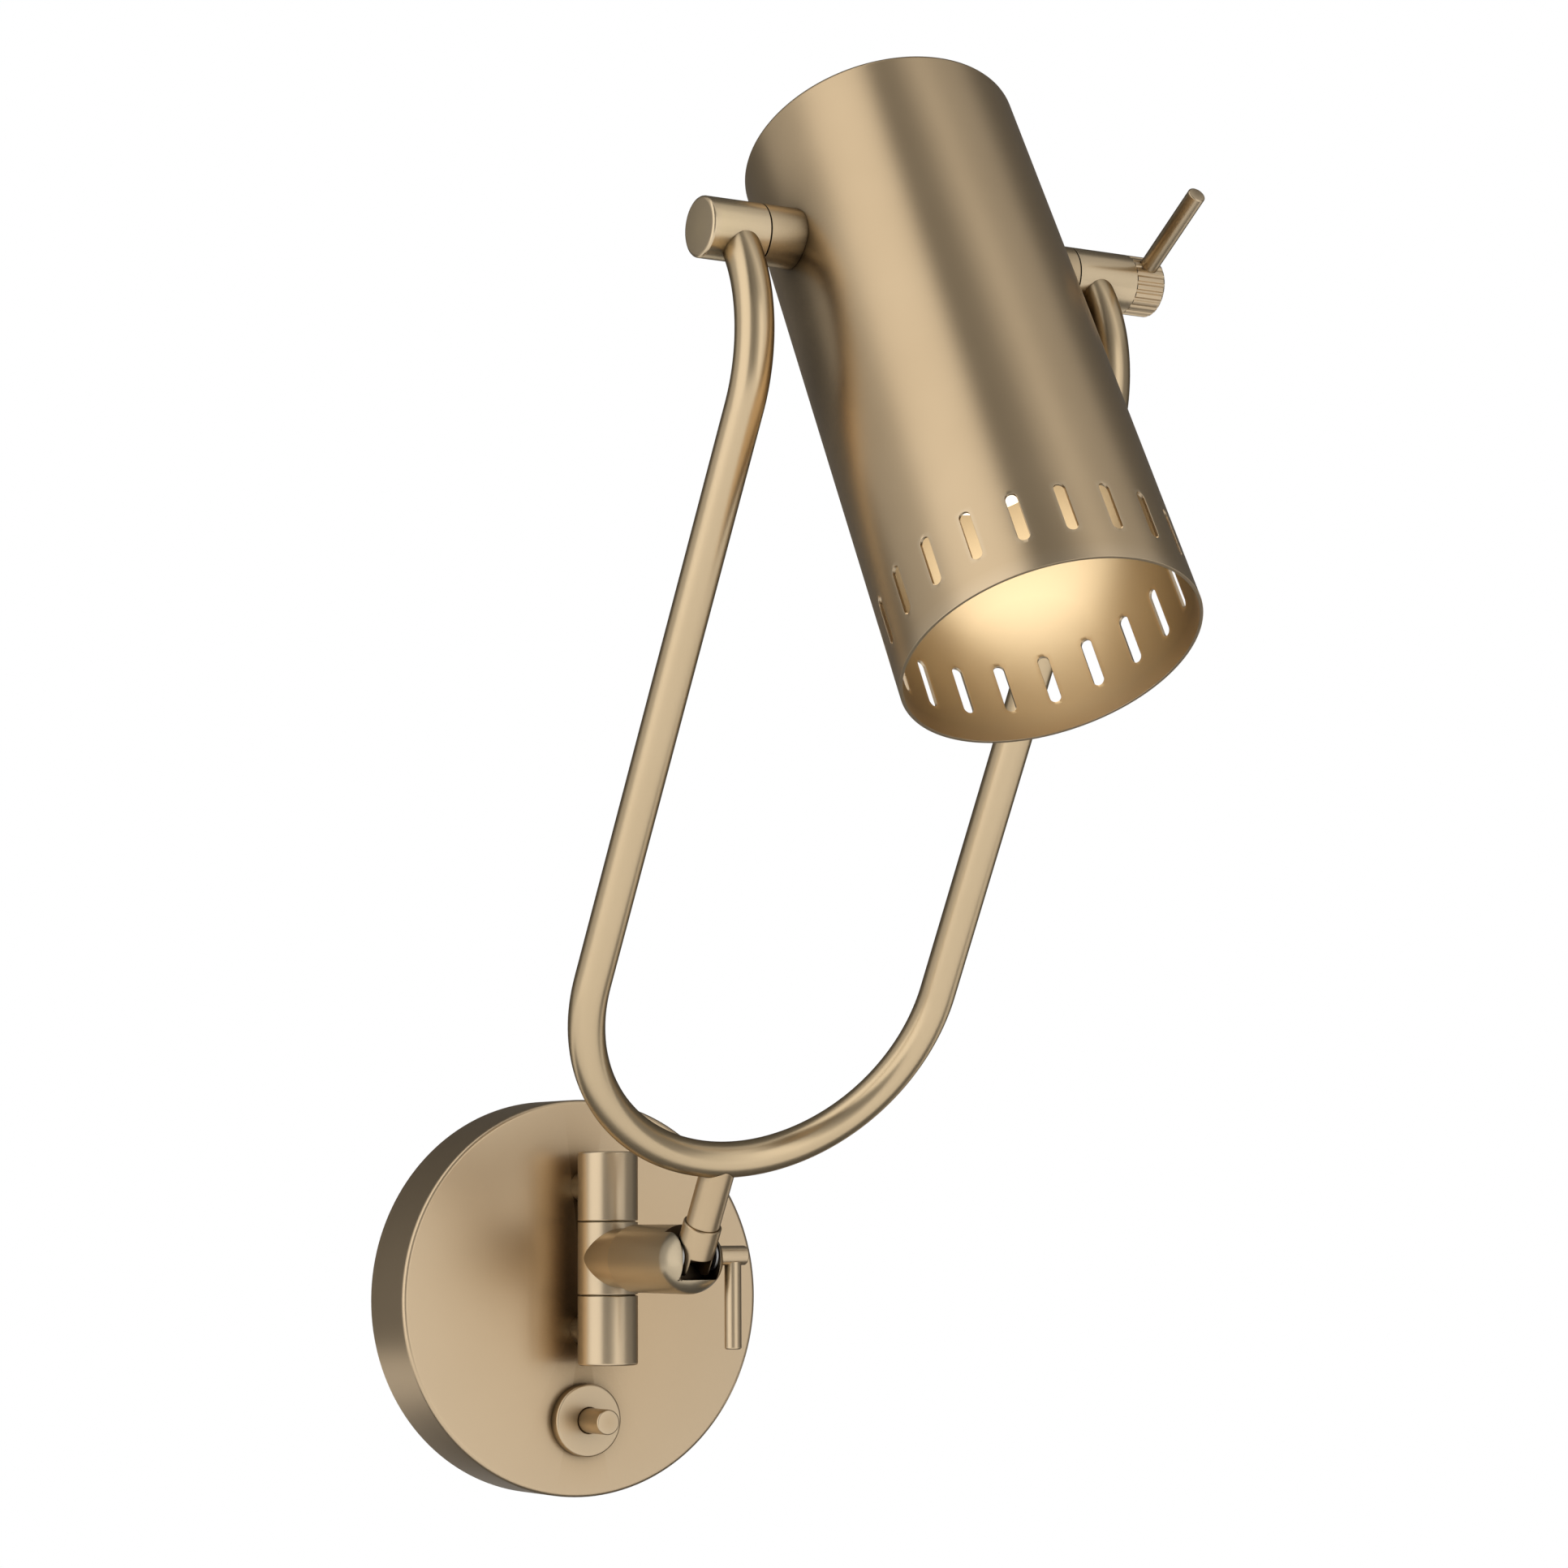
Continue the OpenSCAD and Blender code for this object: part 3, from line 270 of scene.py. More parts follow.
@dataclass(frozen=True)
class SatinBrass(Finish):
    """Finely brushed, lacquered brass in a soft champagne tone.

    Its soft mottling and its fine marks are given by how many there are in each metre.
    Near other pieces it darkens as painted shade, with a little patina in the seams: crease is
    how far it looks for them, and sheltered gives the openness at which it is all painted shade
    and all open metal.
    """

    grain: Grain = Grain.PLAIN
    turn: Point = (0.0, 0.0, 0.0)
    centre: Point = (0.0, 0.0, 0.0)
    bright: Colour = (0.765, 0.580, 0.362)
    deep: Colour = (0.690, 0.515, 0.314)
    # the rounded edges are painted this paler colour, as wear and as a painted highlight
    worn_and_sheen: Colour = (0.82, 0.65, 0.44)
    # the dark tone, reach and openness below paint shade where other pieces are near, with a little patina in
    # the seams
    patina: Colour = (0.040, 0.028, 0.016)
    roughness: float = 0.31
    edge_radius: float = 0.0
    crease: float = 2.2 * MM
    sheltered: Tuple[float, float] = (0.28, 0.83)
    rim_tone: float = 0.6
    marked: float = 0.02
    mottling: float = 30.0
    fineness: float = 2400.0
    drawn_out: float = 0.05
    mark_depth: float = 0.03 * MM
    edge_share: float = 0.6

    def colour(self, sheet: NodeSheet, tone: Term) -> Socket:
        """The open metal's colour, from its darker to its paler tone."""
        return sheet.mix(tone, self.deep, self.bright)

    def look(self, sheet: NodeSheet) -> Look:
        """Metal with tool marks, soft mottling, edges painted paler as wear and highlight, and painted shade
        near other pieces.

        Args:
            sheet: the node sheet.

        Returns:
            The values of the shader's inputs.
        """
        here = sheet.place(self.turn, self.centre)
        cloud = sheet.noise(here, self.mottling, 3.0)
        if self.grain is Grain.LATHED:
            marks = sheet.rings(here, self.fineness)
        elif self.grain is Grain.DRAWN:
            long = sheet.node("ShaderNodeMapping", {}, {"Vector": here, "Scale": (1.0, 1.0, self.drawn_out)})
            marks = sheet.noise(long.outputs[0], self.fineness)
        else:
            marks = sheet.noise(here, self.fineness)
        # painted highlight and wear: the marked rounded edges take the paler colour
        edge = Term(sheet, sheet.node("ShaderNodeAttribute", {"attribute_name": "worn_and_sheen"}).outputs["Fac"])
        # painted shade: ambient occlusion darkens the metal towards its dark tone where other pieces are near
        shelter = sheet.node("ShaderNodeAmbientOcclusion", {"samples": 6}, {"Distance": self.crease})
        low, high = self.sheltered
        unshaded = ((Term(sheet, shelter.outputs["AO"]) - low) * (1.0 / (high - low))).clamped()
        # the marks are about 0.5 on average, which is taken off again so that they leave the tone as it is
        tone = (cloud * 1.1 + marks * (self.marked * 12.0) - 0.05 - self.marked * 6.0).clamped()
        rough = marks * self.marked * 2.0 + (self.roughness - self.marked)
        body = sheet.mix(unshaded, self.patina, self.colour(sheet, tone))
        return {"Base Color": sheet.mix(edge * self.edge_share, body, self.worn_and_sheen), "Roughness": rough,
                "Normal": sheet.relief(marks, self.marked, self.mark_depth, self.edge_radius),
                "Metallic": 1.0, "Specular Tint": (self.rim_tone,) * 3}


@dataclass(frozen=True)
class PaintedLightPoolLining(SatinBrass):
    """The shade's inside, with a pool of lamp light painted pale on it and painted shade in brown further
    off.
    """

    # middle is the centre of the pool of lamp light painted on the lining
    middle: Point = (0.0, 0.0, 0.0)
    light_pool_reach: float = 19 * MM
    full_shade_reach: float = 60 * MM
    painted_shade_brown: Colour = (0.34, 0.27, 0.18)

    def colour(self, sheet: NodeSheet, tone: Term) -> Socket:
        """The open metal's colour, turning to painted shade with the distance from the painted pool of light.

        Args:
            sheet: the node sheet.
            tone: the share of the paler tone.

        Returns:
            The colour's output.
        """
        here = sheet.node("ShaderNodeTexCoord").outputs["Object"]
        away = sheet.node("ShaderNodeVectorMath", {"operation": "DISTANCE"}, {0: here, 1: self.middle})
        fade = self.full_shade_reach - self.light_pool_reach
        share = (Term(sheet, away.outputs["Value"]) - self.light_pool_reach) * (1.0 / fade)
        return sheet.mix(share.clamped(), super().colour(sheet, tone), self.painted_shade_brown)


@dataclass(frozen=True)
class PlatedSteel(Finish):
    """Zinc plated steel, a little cloudy."""

    bright: Colour = (0.62, 0.62, 0.60)
    deep: Colour = (0.50, 0.51, 0.52)
    roughness: float = 0.38
    spangle: float = 160.0
    fineness: float = 1400.0
    edge_radius: float = 0.25 * MM

    def look(self, sheet: NodeSheet) -> Look:
        """Metal with the blotches of zinc.

        Args:
            sheet: the node sheet.

        Returns:
            The values of the shader's inputs.
        """
        here = sheet.place()
        cloud = sheet.noise(here, self.spangle, 3.0)
        fine = sheet.noise(here, self.fineness)
        return {"Base Color": sheet.mix((cloud * 1.4 - 0.2).clamped(), self.deep, self.bright),
                "Roughness": cloud * 0.14 + fine * 0.06 + (self.roughness - 0.1),
                "Normal": sheet.relief(fine, 0.15, 0.05 * MM, self.edge_radius), "Metallic": 1.0}


@dataclass(frozen=True)
class Moulded(Finish):
    """Plastic, rubber, enamel or porcelain: a coloured body under a skin."""

    body: Colour = (0.05, 0.05, 0.05)
    shift: float = 0.12
    roughness: float = 0.45
    coat: float = 0.0
    pitted: float = 0.12
    mottling: float = 70.0
    fineness: float = 2200.0

    def look(self, sheet: NodeSheet) -> Look:
        """A slightly uneven colour and skin.

        Args:
            sheet: the node sheet.

        Returns:
            The values of the shader's inputs.
        """
        here = sheet.place()
        cloud = sheet.noise(here, self.mottling, 3.0)
        fine = sheet.noise(here, self.fineness)
        pale = tuple(min(1.0, c * (1 + self.shift)) for c in self.body)
        dark = tuple(c * (1 - self.shift) for c in self.body)
        return {"Base Color": sheet.mix(cloud, dark, pale),
                "Roughness": cloud * 0.1 + fine * 0.08 + (self.roughness - 0.09),
                "Normal": sheet.relief(fine, self.pitted, 0.05 * MM), "Coat Weight": self.coat}


@dataclass(frozen=True)
class LitGlass(Finish):
    """Frosted glass of a bulb that is switched on."""

    body: Colour = (0.95, 0.92, 0.86)
    glow: Colour = (1.0, 0.90, 0.73)
    strength: float = 1.36
    mottling: float = 60.0
    fineness: float = 2600.0

    def look(self, sheet: NodeSheet) -> Look:
        """A frosted skin with an even, warm glow.

        Args:
            sheet: the node sheet.

        Returns:
            The values of the shader's inputs.
        """
        here = sheet.place()
        cloud = sheet.noise(here, self.mottling)
        fine = sheet.noise(here, self.fineness)
        warm = tuple(c * 0.94 for c in self.glow)
        return {"Base Color": self.body, "Roughness": fine * 0.1 + 0.35,
                "Normal": sheet.relief(fine, 0.1, 0.04 * MM),
                "Emission Color": sheet.mix(cloud, warm, self.glow), "Emission Strength": self.strength}


@dataclass(frozen=True)
class PaleFloor(Finish):
    """The studio's floor, almost even."""

    def look(self, sheet: NodeSheet) -> Look:
        """A matt pale grey with soft clouds."""
        tone = sheet.mix(sheet.noise(sheet.place(), scale=6.0), (0.80, 0.80, 0.80), (0.84, 0.84, 0.84))
        return {"Base Color": tone, "Roughness": 0.9}


@dataclass(frozen=True)
class ReflectedFelt(Finish):
    """Felt as the metal's reflections show it, an even grey."""

    grey: float = 0.0

    def look(self, sheet: NodeSheet) -> Look:
        """The grey alone, with none of the studio's light."""
        return {"Base Color": (0.0, 0.0, 0.0), "Roughness": 1.0, "Emission Color": (self.grey,) * 3,
                "Emission Strength": 1.0}


# Workbench


def turn(axis: str, degrees: float) -> Matrix:
    """A rotation about X, Y or Z."""
    return Matrix.Rotation(math.radians(degrees), 4, axis)


def shift(x: float = 0.0, y: float = 0.0, z: float = 0.0) -> Matrix:
    """A move."""
    return Matrix.Translation((x, y, z))


OUTWARDS = turn("X", 90)
RIGHTWARDS = turn("Y", 90)
LEFTWARDS = turn("Y", -90)
SAME = 0.001 * MM  # corners closer than this are one corner
Ring = List[bmesh.types.BMEdge]


def linked(name: str, data: Union[bmesh.types.BMesh, bpy.types.ID]) -> bpy.types.Object:
    """Put new data into the scene as an object.

    Args:
        name: the object's name.
        data: its mesh, as a bmesh, or its camera or light.

    Returns:
        The object.
    """
    if isinstance(data, bmesh.types.BMesh):
        shape, data = data, bpy.data.meshes.new(name)
        shape.to_mesh(data)
    made = bpy.data.objects.new(name, data)
    bpy.context.scene.collection.objects.link(made)
    return made


def pull(mesh: bmesh.types.BMesh, edges: Ring, move: Matrix) -> Ring:
    """Extrude a row of edges by one move.

    Args:
        mesh: the mesh it belongs to.
        edges: the row.
        move: the move.

    Returns:
        The new row.
    """
    made = bmesh.ops.extrude_edge_only(mesh, edges=edges)["geom"]
    fresh = {v for v in made if isinstance(v, bmesh.types.BMVert)}
    bmesh.ops.transform(mesh, matrix=move, verts=list(fresh))
    return [e for e in made if isinstance(e, bmesh.types.BMEdge) and all(v in fresh for v in e.verts)]


def sweep(mesh: bmesh.types.BMesh, edges: Ring, about: Matrix, axis: str, degrees: float, steps: int) -> Ring:
    """Carry a row of edges round a bend.

    Args:
        mesh: the mesh it belongs to.
        edges: the row.
        about: the bend's centre.
        axis: the axis it turns about.
        degrees: how far.
        steps: in how many steps.

    Returns:
        The row at the bend's end.
    """
    step = about @ turn(axis, degrees / steps) @ about.inverted()
    for _ in range(steps):
        edges = pull(mesh, edges, step)
    return edges


class Workpiece:
    """A piece on the bench: it starts empty, is shaped, and ends as an object."""

    def __init__(self, name: str) -> None:
        """Start with an empty mesh that can mark its rounded edges, which are painted paler as wear and
        highlight.
        """
        self.name = name
        self.mesh = bmesh.new()
        self.worn_and_sheen = self.mesh.verts.layers.float.new("worn_and_sheen")

    def _fresh(self, known: set) -> List[bmesh.types.BMVert]:
        """The corners that weren't there before."""
        return [v for v in self.mesh.verts if v not in known]

    def round_off(self, edges: Sequence[bmesh.types.BMEdge], radius: float, segments: int = 3) -> None:
        """Round some edges.

        Args:
            edges: the edges.
            radius: how far the rounding reaches.
            segments: how many strips it has.
        """
        made = bmesh.ops.bevel(self.mesh, geom=list(edges), affect="EDGES", offset_type="OFFSET",
                               offset=radius, segments=segments, profile=0.5, clamp_overlap=True,
                               material=-1)
        for face in made["faces"]:
            for vert in face.verts:
                vert[self.worn_and_sheen] = 1.0

    def lathe(self, outline: Outline, place: Matrix, steps: int = 96, ring: bool = False) -> None:
        """Spin an outline round the +Z of a place, and round its corners.

        Args:
            outline: radius, height and rounding of each corner.
            place: the frame whose +Z is the axis.
            steps: how many sides the round has.
            ring: whether the outline closes on itself.
        """
        known = set(self.mesh.verts)
        corners = [self.mesh.verts.new((r, 0.0, z)) for r, z, _ in outline]
        pairs = list(zip(corners, corners[1:])) + ([(corners[-1], corners[0])] if ring else [])
        edges = [self.mesh.edges.new(pair) for pair in pairs]
        bmesh.ops.spin(self.mesh, geom=corners + edges, cent=(0, 0, 0), axis=(0, 0, 1), dvec=(0, 0, 0),
                       angle=2 * math.pi, steps=steps, use_merge=True, use_duplicate=False)
        bmesh.ops.remove_doubles(self.mesh, verts=self._fresh(known), dist=0.1 * SAME)
        faces = list({f for v in self._fresh(known) for f in v.link_faces})
        bmesh.ops.recalc_face_normals(self.mesh, faces=faces)
        for r, z, rounding in outline:
            if rounding <= 0.0:
                continue
            found = {e for v in self._fresh(known) for e in v.link_edges
                     if all(abs(math.hypot(w.co.x, w.co.y) - r) < SAME and abs(w.co.z - z) < SAME
                            for w in e.verts)}
            self.round_off(found, rounding, 2 if rounding < 0.3 * MM else 4)
        bmesh.ops.transform(self.mesh, matrix=place, verts=self._fresh(known))

    def box(self, size: Point, place: Matrix) -> None:
        """Add a block, centred on a place."""
        bmesh.ops.create_cube(self.mesh, size=1.0, matrix=place @ Matrix.Diagonal((*size, 1.0)))

    def cut(self, tool: "Workpiece") -> None:
        """Cut this piece with another one, which is used up.

        Args:
            tool: the solid that is taken away.
        """
        body, knife = linked(self.name, self.mesh), linked(tool.name, tool.mesh)
        cutter = body.modifiers.new("cut", "BOOLEAN")
        cutter.operation, cutter.solver, cutter.object = "DIFFERENCE", "EXACT", knife
        seen = body.evaluated_get(bpy.context.evaluated_depsgraph_get())
        self.mesh.clear()
        self.mesh.from_mesh(seen.to_mesh())
        seen.to_mesh_clear()
        self.worn_and_sheen = self.mesh.verts.layers.float.get("worn_and_sheen") or self.mesh.verts.layers.float.new("worn_and_sheen")
        for used in (body, knife):
            bpy.data.objects.remove(used)
        tool.mesh.free()
        bmesh.ops.remove_doubles(self.mesh, verts=self.mesh.verts, dist=2 * SAME)

    def deliver(self, body: str, stands_for: str, finish: Finish, smooth: float = 40.0,
                inner: Optional[Finish] = None) -> None:
        """Turn the mesh into a finished piece of the lamp.

        Args:
            body: the body it rides on.
            stands_for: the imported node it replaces.
            finish: what it is dressed in.
            smooth: the angle above which an edge stays sharp.
            inner: the finish of the faces that were given the second slot.
        """
        made = linked(self.name, self.mesh)
        self.mesh.free()
        data = made.data
        data.polygons.foreach_set("use_smooth", [True] * len(data.polygons))
        data.set_sharp_from_angle(angle=math.radians(smooth))
        weights = made.modifiers.new("even_faces", "WEIGHTED_NORMAL")
        weights.keep_sharp = True
        finish.dress(made)
        if inner is not None:
            data.materials.append(inner.material())
        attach(made, body)
        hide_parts(stands_for)
        log.info("%s: %d faces, rides on %s", self.name, len(data.polygons), body)


def solid(radius: float, start: float, end: float, near: float = 0.0, far: float = 0.0) -> Outline:
    """The outline of a plain round bar.

    Args:
        radius: its radius.
        start: height of its near end.
        end: height of its far end.
        near: rounding of the near edge.
        far: rounding of the far edge.

    Returns:
        The outline for the lathe.
    """
    return [(0.0, start, 0.0), (radius, start, near), (radius, end, far), (0.0, end, 0.0)]


@dataclass(frozen=True)
class Layout:
    """The places that the lamp's parts share, each a frame."""

    plate_depth: float = 25.0 * MM
    hinge_out: float = 41.9 * MM
    hinge_up: float = 12.7 * MM
    tilt_out: float = 99.2 * MM
    tilt_up: float = 13.8 * MM
    arm_lean: float = 30.8
    pivot_h: float = 311.5 * MM
    pivot_back: float = 31.1 * MM
    shade_tilt: float = 28.8

    def hinge(self) -> Matrix:
        """The middle of the swing hinge."""
        return shift(0.0, -self.hinge_out, self.hinge_up)

    def tilt(self) -> Matrix:
        """The elbow's tilt axis."""
        return shift(0.0, -self.tilt_out, self.tilt_up)

    def arm(self) -> Matrix:
        """The tilt axis, with +Z up the arm."""
        return self.tilt() @ turn("X", self.arm_lean)

    def pivot(self) -> Matrix:
        """The shade's pivot axis."""
        return self.arm() @ shift(0.0, self.pivot_back, self.pivot_h) @ turn("X", -self.arm_lean)

    def shade(self) -> Matrix:
        """The pivot, with -Z towards the shade's open end."""
        return self.pivot() @ turn("X", -self.shade_tilt)


PLACES = Layout()


# Studio


class Felt(Enum):
    """How bright each of the five felts is, from black to pale."""

    BLACK = 0.02
    CHARCOAL = 0.10
    SLATE = 0.20
    GREY = 0.42
    PALE = 0.70


NEAR, FAR = 0.62, 2.4


@dataclass(frozen=True)
class Cloth:
    """A felt cloth, by where it hangs as seen from the lamp.

    Its sides and ups are degrees to the right of the camera and above the lamp, and its
    distance is in metres.
    """

    name: str
    sides: Tuple[float, float]
    ups: Tuple[float, float]
    felt: Felt
    distance: float


@dataclass
class Studio:
    """Camera, soft light, pale floor and white background.

    The camera's place and angles repeat the photograph's view, in metres and degrees.
    """

    cloths: Tuple[Cloth, ...] = (
        Cloth("back_cloth", (116, 244), (-32, 87), Felt.CHARCOAL, FAR),
        Cloth("side_cloth_left", (-116, -78), (-32, 87), Felt.GREY, FAR),
        Cloth("front_cloth_dark", (-22, -4), (28, 87), Felt.BLACK, FAR),
        Cloth("front_cloth_above", (-4, 28), (28, 87), Felt.SLATE, FAR),
        Cloth("front_cloth", (-22, 12), (-32, 28), Felt.SLATE, FAR),
        Cloth("front_cloth_right", (12, 28), (-32, 28), Felt.GREY, FAR),
        Cloth("right_cloth_above", (28, 50), (28, 87), Felt.GREY, FAR),
        Cloth("right_cloth", (50, 72), (-32, 87), Felt.PALE, FAR),
        Cloth("side_cloth_above", (72, 116), (28, 87), Felt.GREY, FAR),
        Cloth("side_cloth_right", (72, 116), (-32, 28), Felt.SLATE, FAR),
        Cloth("low_cloth_back", (100, 260), (-87, -32), Felt.CHARCOAL, NEAR),
        Cloth("low_cloth_left", (-100, -62), (-87, -32), Felt.PALE, NEAR),
        Cloth("low_cloth_right", (62, 100), (-87, -32), Felt.PALE, NEAR),
    )

    camera_at: Point = (-0.57565, -1.15632, 0.02671)
    yaw: float = 29.92
    pitch: float = 6.27
    roll: float = -0.30
    focal_px: float = 4810.5
    photo_px: float = 1932.0
    sensor: float = 36.0
    nearest: float = 0.05
    farthest: float = 60.0
    aim: Point = (0.0, -0.17, 0.13)
    camera_bearing: float = -119.9
    cloth_rows: int = 8
    cloth_step: float = 6.0
    floor_r: float = 2.72
    floor_z: float = -0.55
    floor_sides: int = 96

    def camera(self) -> None:
        """Make the camera at the photograph's viewpoint."""
        data = bpy.data.cameras.new("photo_camera")
        data.sensor_width = self.sensor
        data.lens = self.sensor * self.focal_px / self.photo_px
        data.clip_start = self.nearest
        data.clip_end = self.farthest
        made = linked("photo_camera", data)
        facing = turn("Z", -self.yaw) @ turn("X", 90.0 + self.pitch) @ turn("Z", self.roll)
        made.matrix_world = shift(*self.camera_at) @ facing
        bpy.context.scene.camera = made

    def world(self) -> None:
        """A white surround for the camera and for reflections, and a plain level for the rest."""
        world = bpy.data.worlds.new("studio")
        bpy.context.scene.world = world
        world.use_nodes = True
        sheet = NodeSheet(world.node_tree)
        path = sheet.node("ShaderNodeLightPath")
        direct, glossy, through = (Term(sheet, path.outputs[f"Is {kind} Ray"])
                                   for kind in ("Camera", "Glossy", "Transmission"))
        seen = direct.at_least(glossy).at_least(through)
        plain = sheet.node("ShaderNodeBackground", {}, {"Color": (0.75, 0.75, 0.75), "Strength": 1.0})
        white = sheet.node("ShaderNodeBackground", {}, {"Color": (1.0, 1.0, 1.0), "Strength": 1.0})
        mixed = sheet.node("ShaderNodeMixShader", {}, {0: seen, 1: plain.outputs[0], 2: white.outputs[0]})
        sheet.node("ShaderNodeOutputWorld", {}, {0: mixed.outputs[0]})

    def towards(self, side: float, up: float, distance: float) -> Vector:
        """A point of the studio.

        Args:
            side: degrees to the right of the camera, seen from the lamp.
            up: degrees above the lamp.
            distance: its distance from the lamp.

        Returns:
            The point.
        """
        bearing, rise = math.radians(self.camera_bearing + side), math.radians(up)
        level = Vector((math.cos(bearing), math.sin(bearing), 0.0)) * math.cos(rise)
        return Vector(self.aim) + distance * (level + Vector((0.0, 0.0, math.sin(rise))))

    def light(self, name: str, side: float, up: float, distance: float, size: Tuple[float, float],
              power: float) -> None:
        """Add a soft lamp that looks at the object.

        Args:
            name: its name.
            side: degrees to the right of the camera.
            up: degrees above the object.
            distance: its distance.
            size: its width and height.
            power: its power in watts.
        """
        data = bpy.data.lights.new(name, "AREA")
        data.shape = "RECTANGLE"
        data.size, data.size_y = size
        data.energy = power
        lamp = linked(name, data)
        lamp.visible_glossy = False
        at = self.towards(side, up, distance)
        look = Vector(self.aim) - at
        lamp.matrix_world = shift(*at) @ look.to_track_quat("-Z", "Y").to_matrix().to_4x4()

    def hang(self, cloth: Cloth) -> None:
        """Hang a curved grey cloth that only the metal's reflections show.

        Args:
            cloth: where it hangs and how bright it is.
        """
        mesh = bmesh.new()
        side, width = cloth.sides[0], cloth.sides[1] - cloth.sides[0]
        low, height = cloth.ups[0], cloth.ups[1] - cloth.ups[0]
        corners = [mesh.verts.new(self.towards(side, low + height * i / self.cloth_rows, cloth.distance))
                   for i in range(self.cloth_rows + 1)]
        edges = [mesh.edges.new(pair) for pair in zip(corners, corners[1:])]
        sweep(mesh, edges, shift(*self.aim), "Z", width, max(3, round(width / self.cloth_step)))
        hung = linked(cloth.name, mesh)
        mesh.free()
        ReflectedFelt(cloth.name, cloth.felt.value).dress(hung)
        hung.visible_camera = hung.visible_diffuse = hung.visible_shadow = False
        hung.visible_transmission = hung.visible_volume_scatter = False

    def floor(self) -> None:
        """Lay a plain pale floor below the lamp."""
        mesh = bmesh.new()
        bmesh.ops.create_circle(mesh, cap_ends=True, segments=self.floor_sides, radius=self.floor_r,
                                matrix=shift(z=self.floor_z))
        floor = linked("floor", mesh)
        mesh.free()
        PaleFloor("pale_floor").dress(floor)

    def build(self) -> None:
        """Set up camera, world, lamps, cloths and floor."""
        self.camera()
        self.world()
        self.light("left_softbox", side=-46.0, up=14.0, distance=2.3, size=(1.5, 3.0), power=18.0)
        self.light("right_softbox", side=48.0, up=10.0, distance=2.3, size=(1.2, 2.6), power=9.0)
        for cloth in self.cloths:
            self.hang(cloth)
        self.floor()
        bpy.context.scene.view_settings.view_transform = "Standard"


# The lamp


def lathed(name: str, axis: Matrix, **changes: Any) -> SatinBrass:
    """Brass with tool marks round an axis.

    Args:
        name: the finish's name.
        axis: the frame whose +Z is the axis.
        changes: other values of the finish.

    Returns:
        The finish.
    """
    back = axis.inverted().to_euler("XYZ")
    return SatinBrass(name, grain=Grain.LATHED, turn=tuple(math.degrees(a) for a in back),
                      centre=tuple(axis.translation), **changes)


HOLE_SIDES, THREAD_SIDES, ROD_SIDES, ELBOW_SIDES, PLATE_SIDES = 32, 48, 64, 128, 160
PAST = 1.0 * MM  # how far a cutter or a hidden end goes past a wall
EDGE = 0.35 * MM
# the plain brass darkens as painted shade within 4 mm of other pieces
BRASS = SatinBrass("satin_brass_plain", edge_radius=EDGE, crease=4 * MM)
# the hinge's brass: a paler copy painted lighter, with grey painted shade reaching 42 mm from other pieces
HINGE_BRASS = lathed("hinge_brass", PLACES.hinge(), bright=(0.84, 0.645, 0.41), deep=(0.76, 0.58, 0.36),
                     crease=42 * MM, sheltered=(0.42, 1.0), patina=(0.20, 0.19, 0.15), marked=0.006)


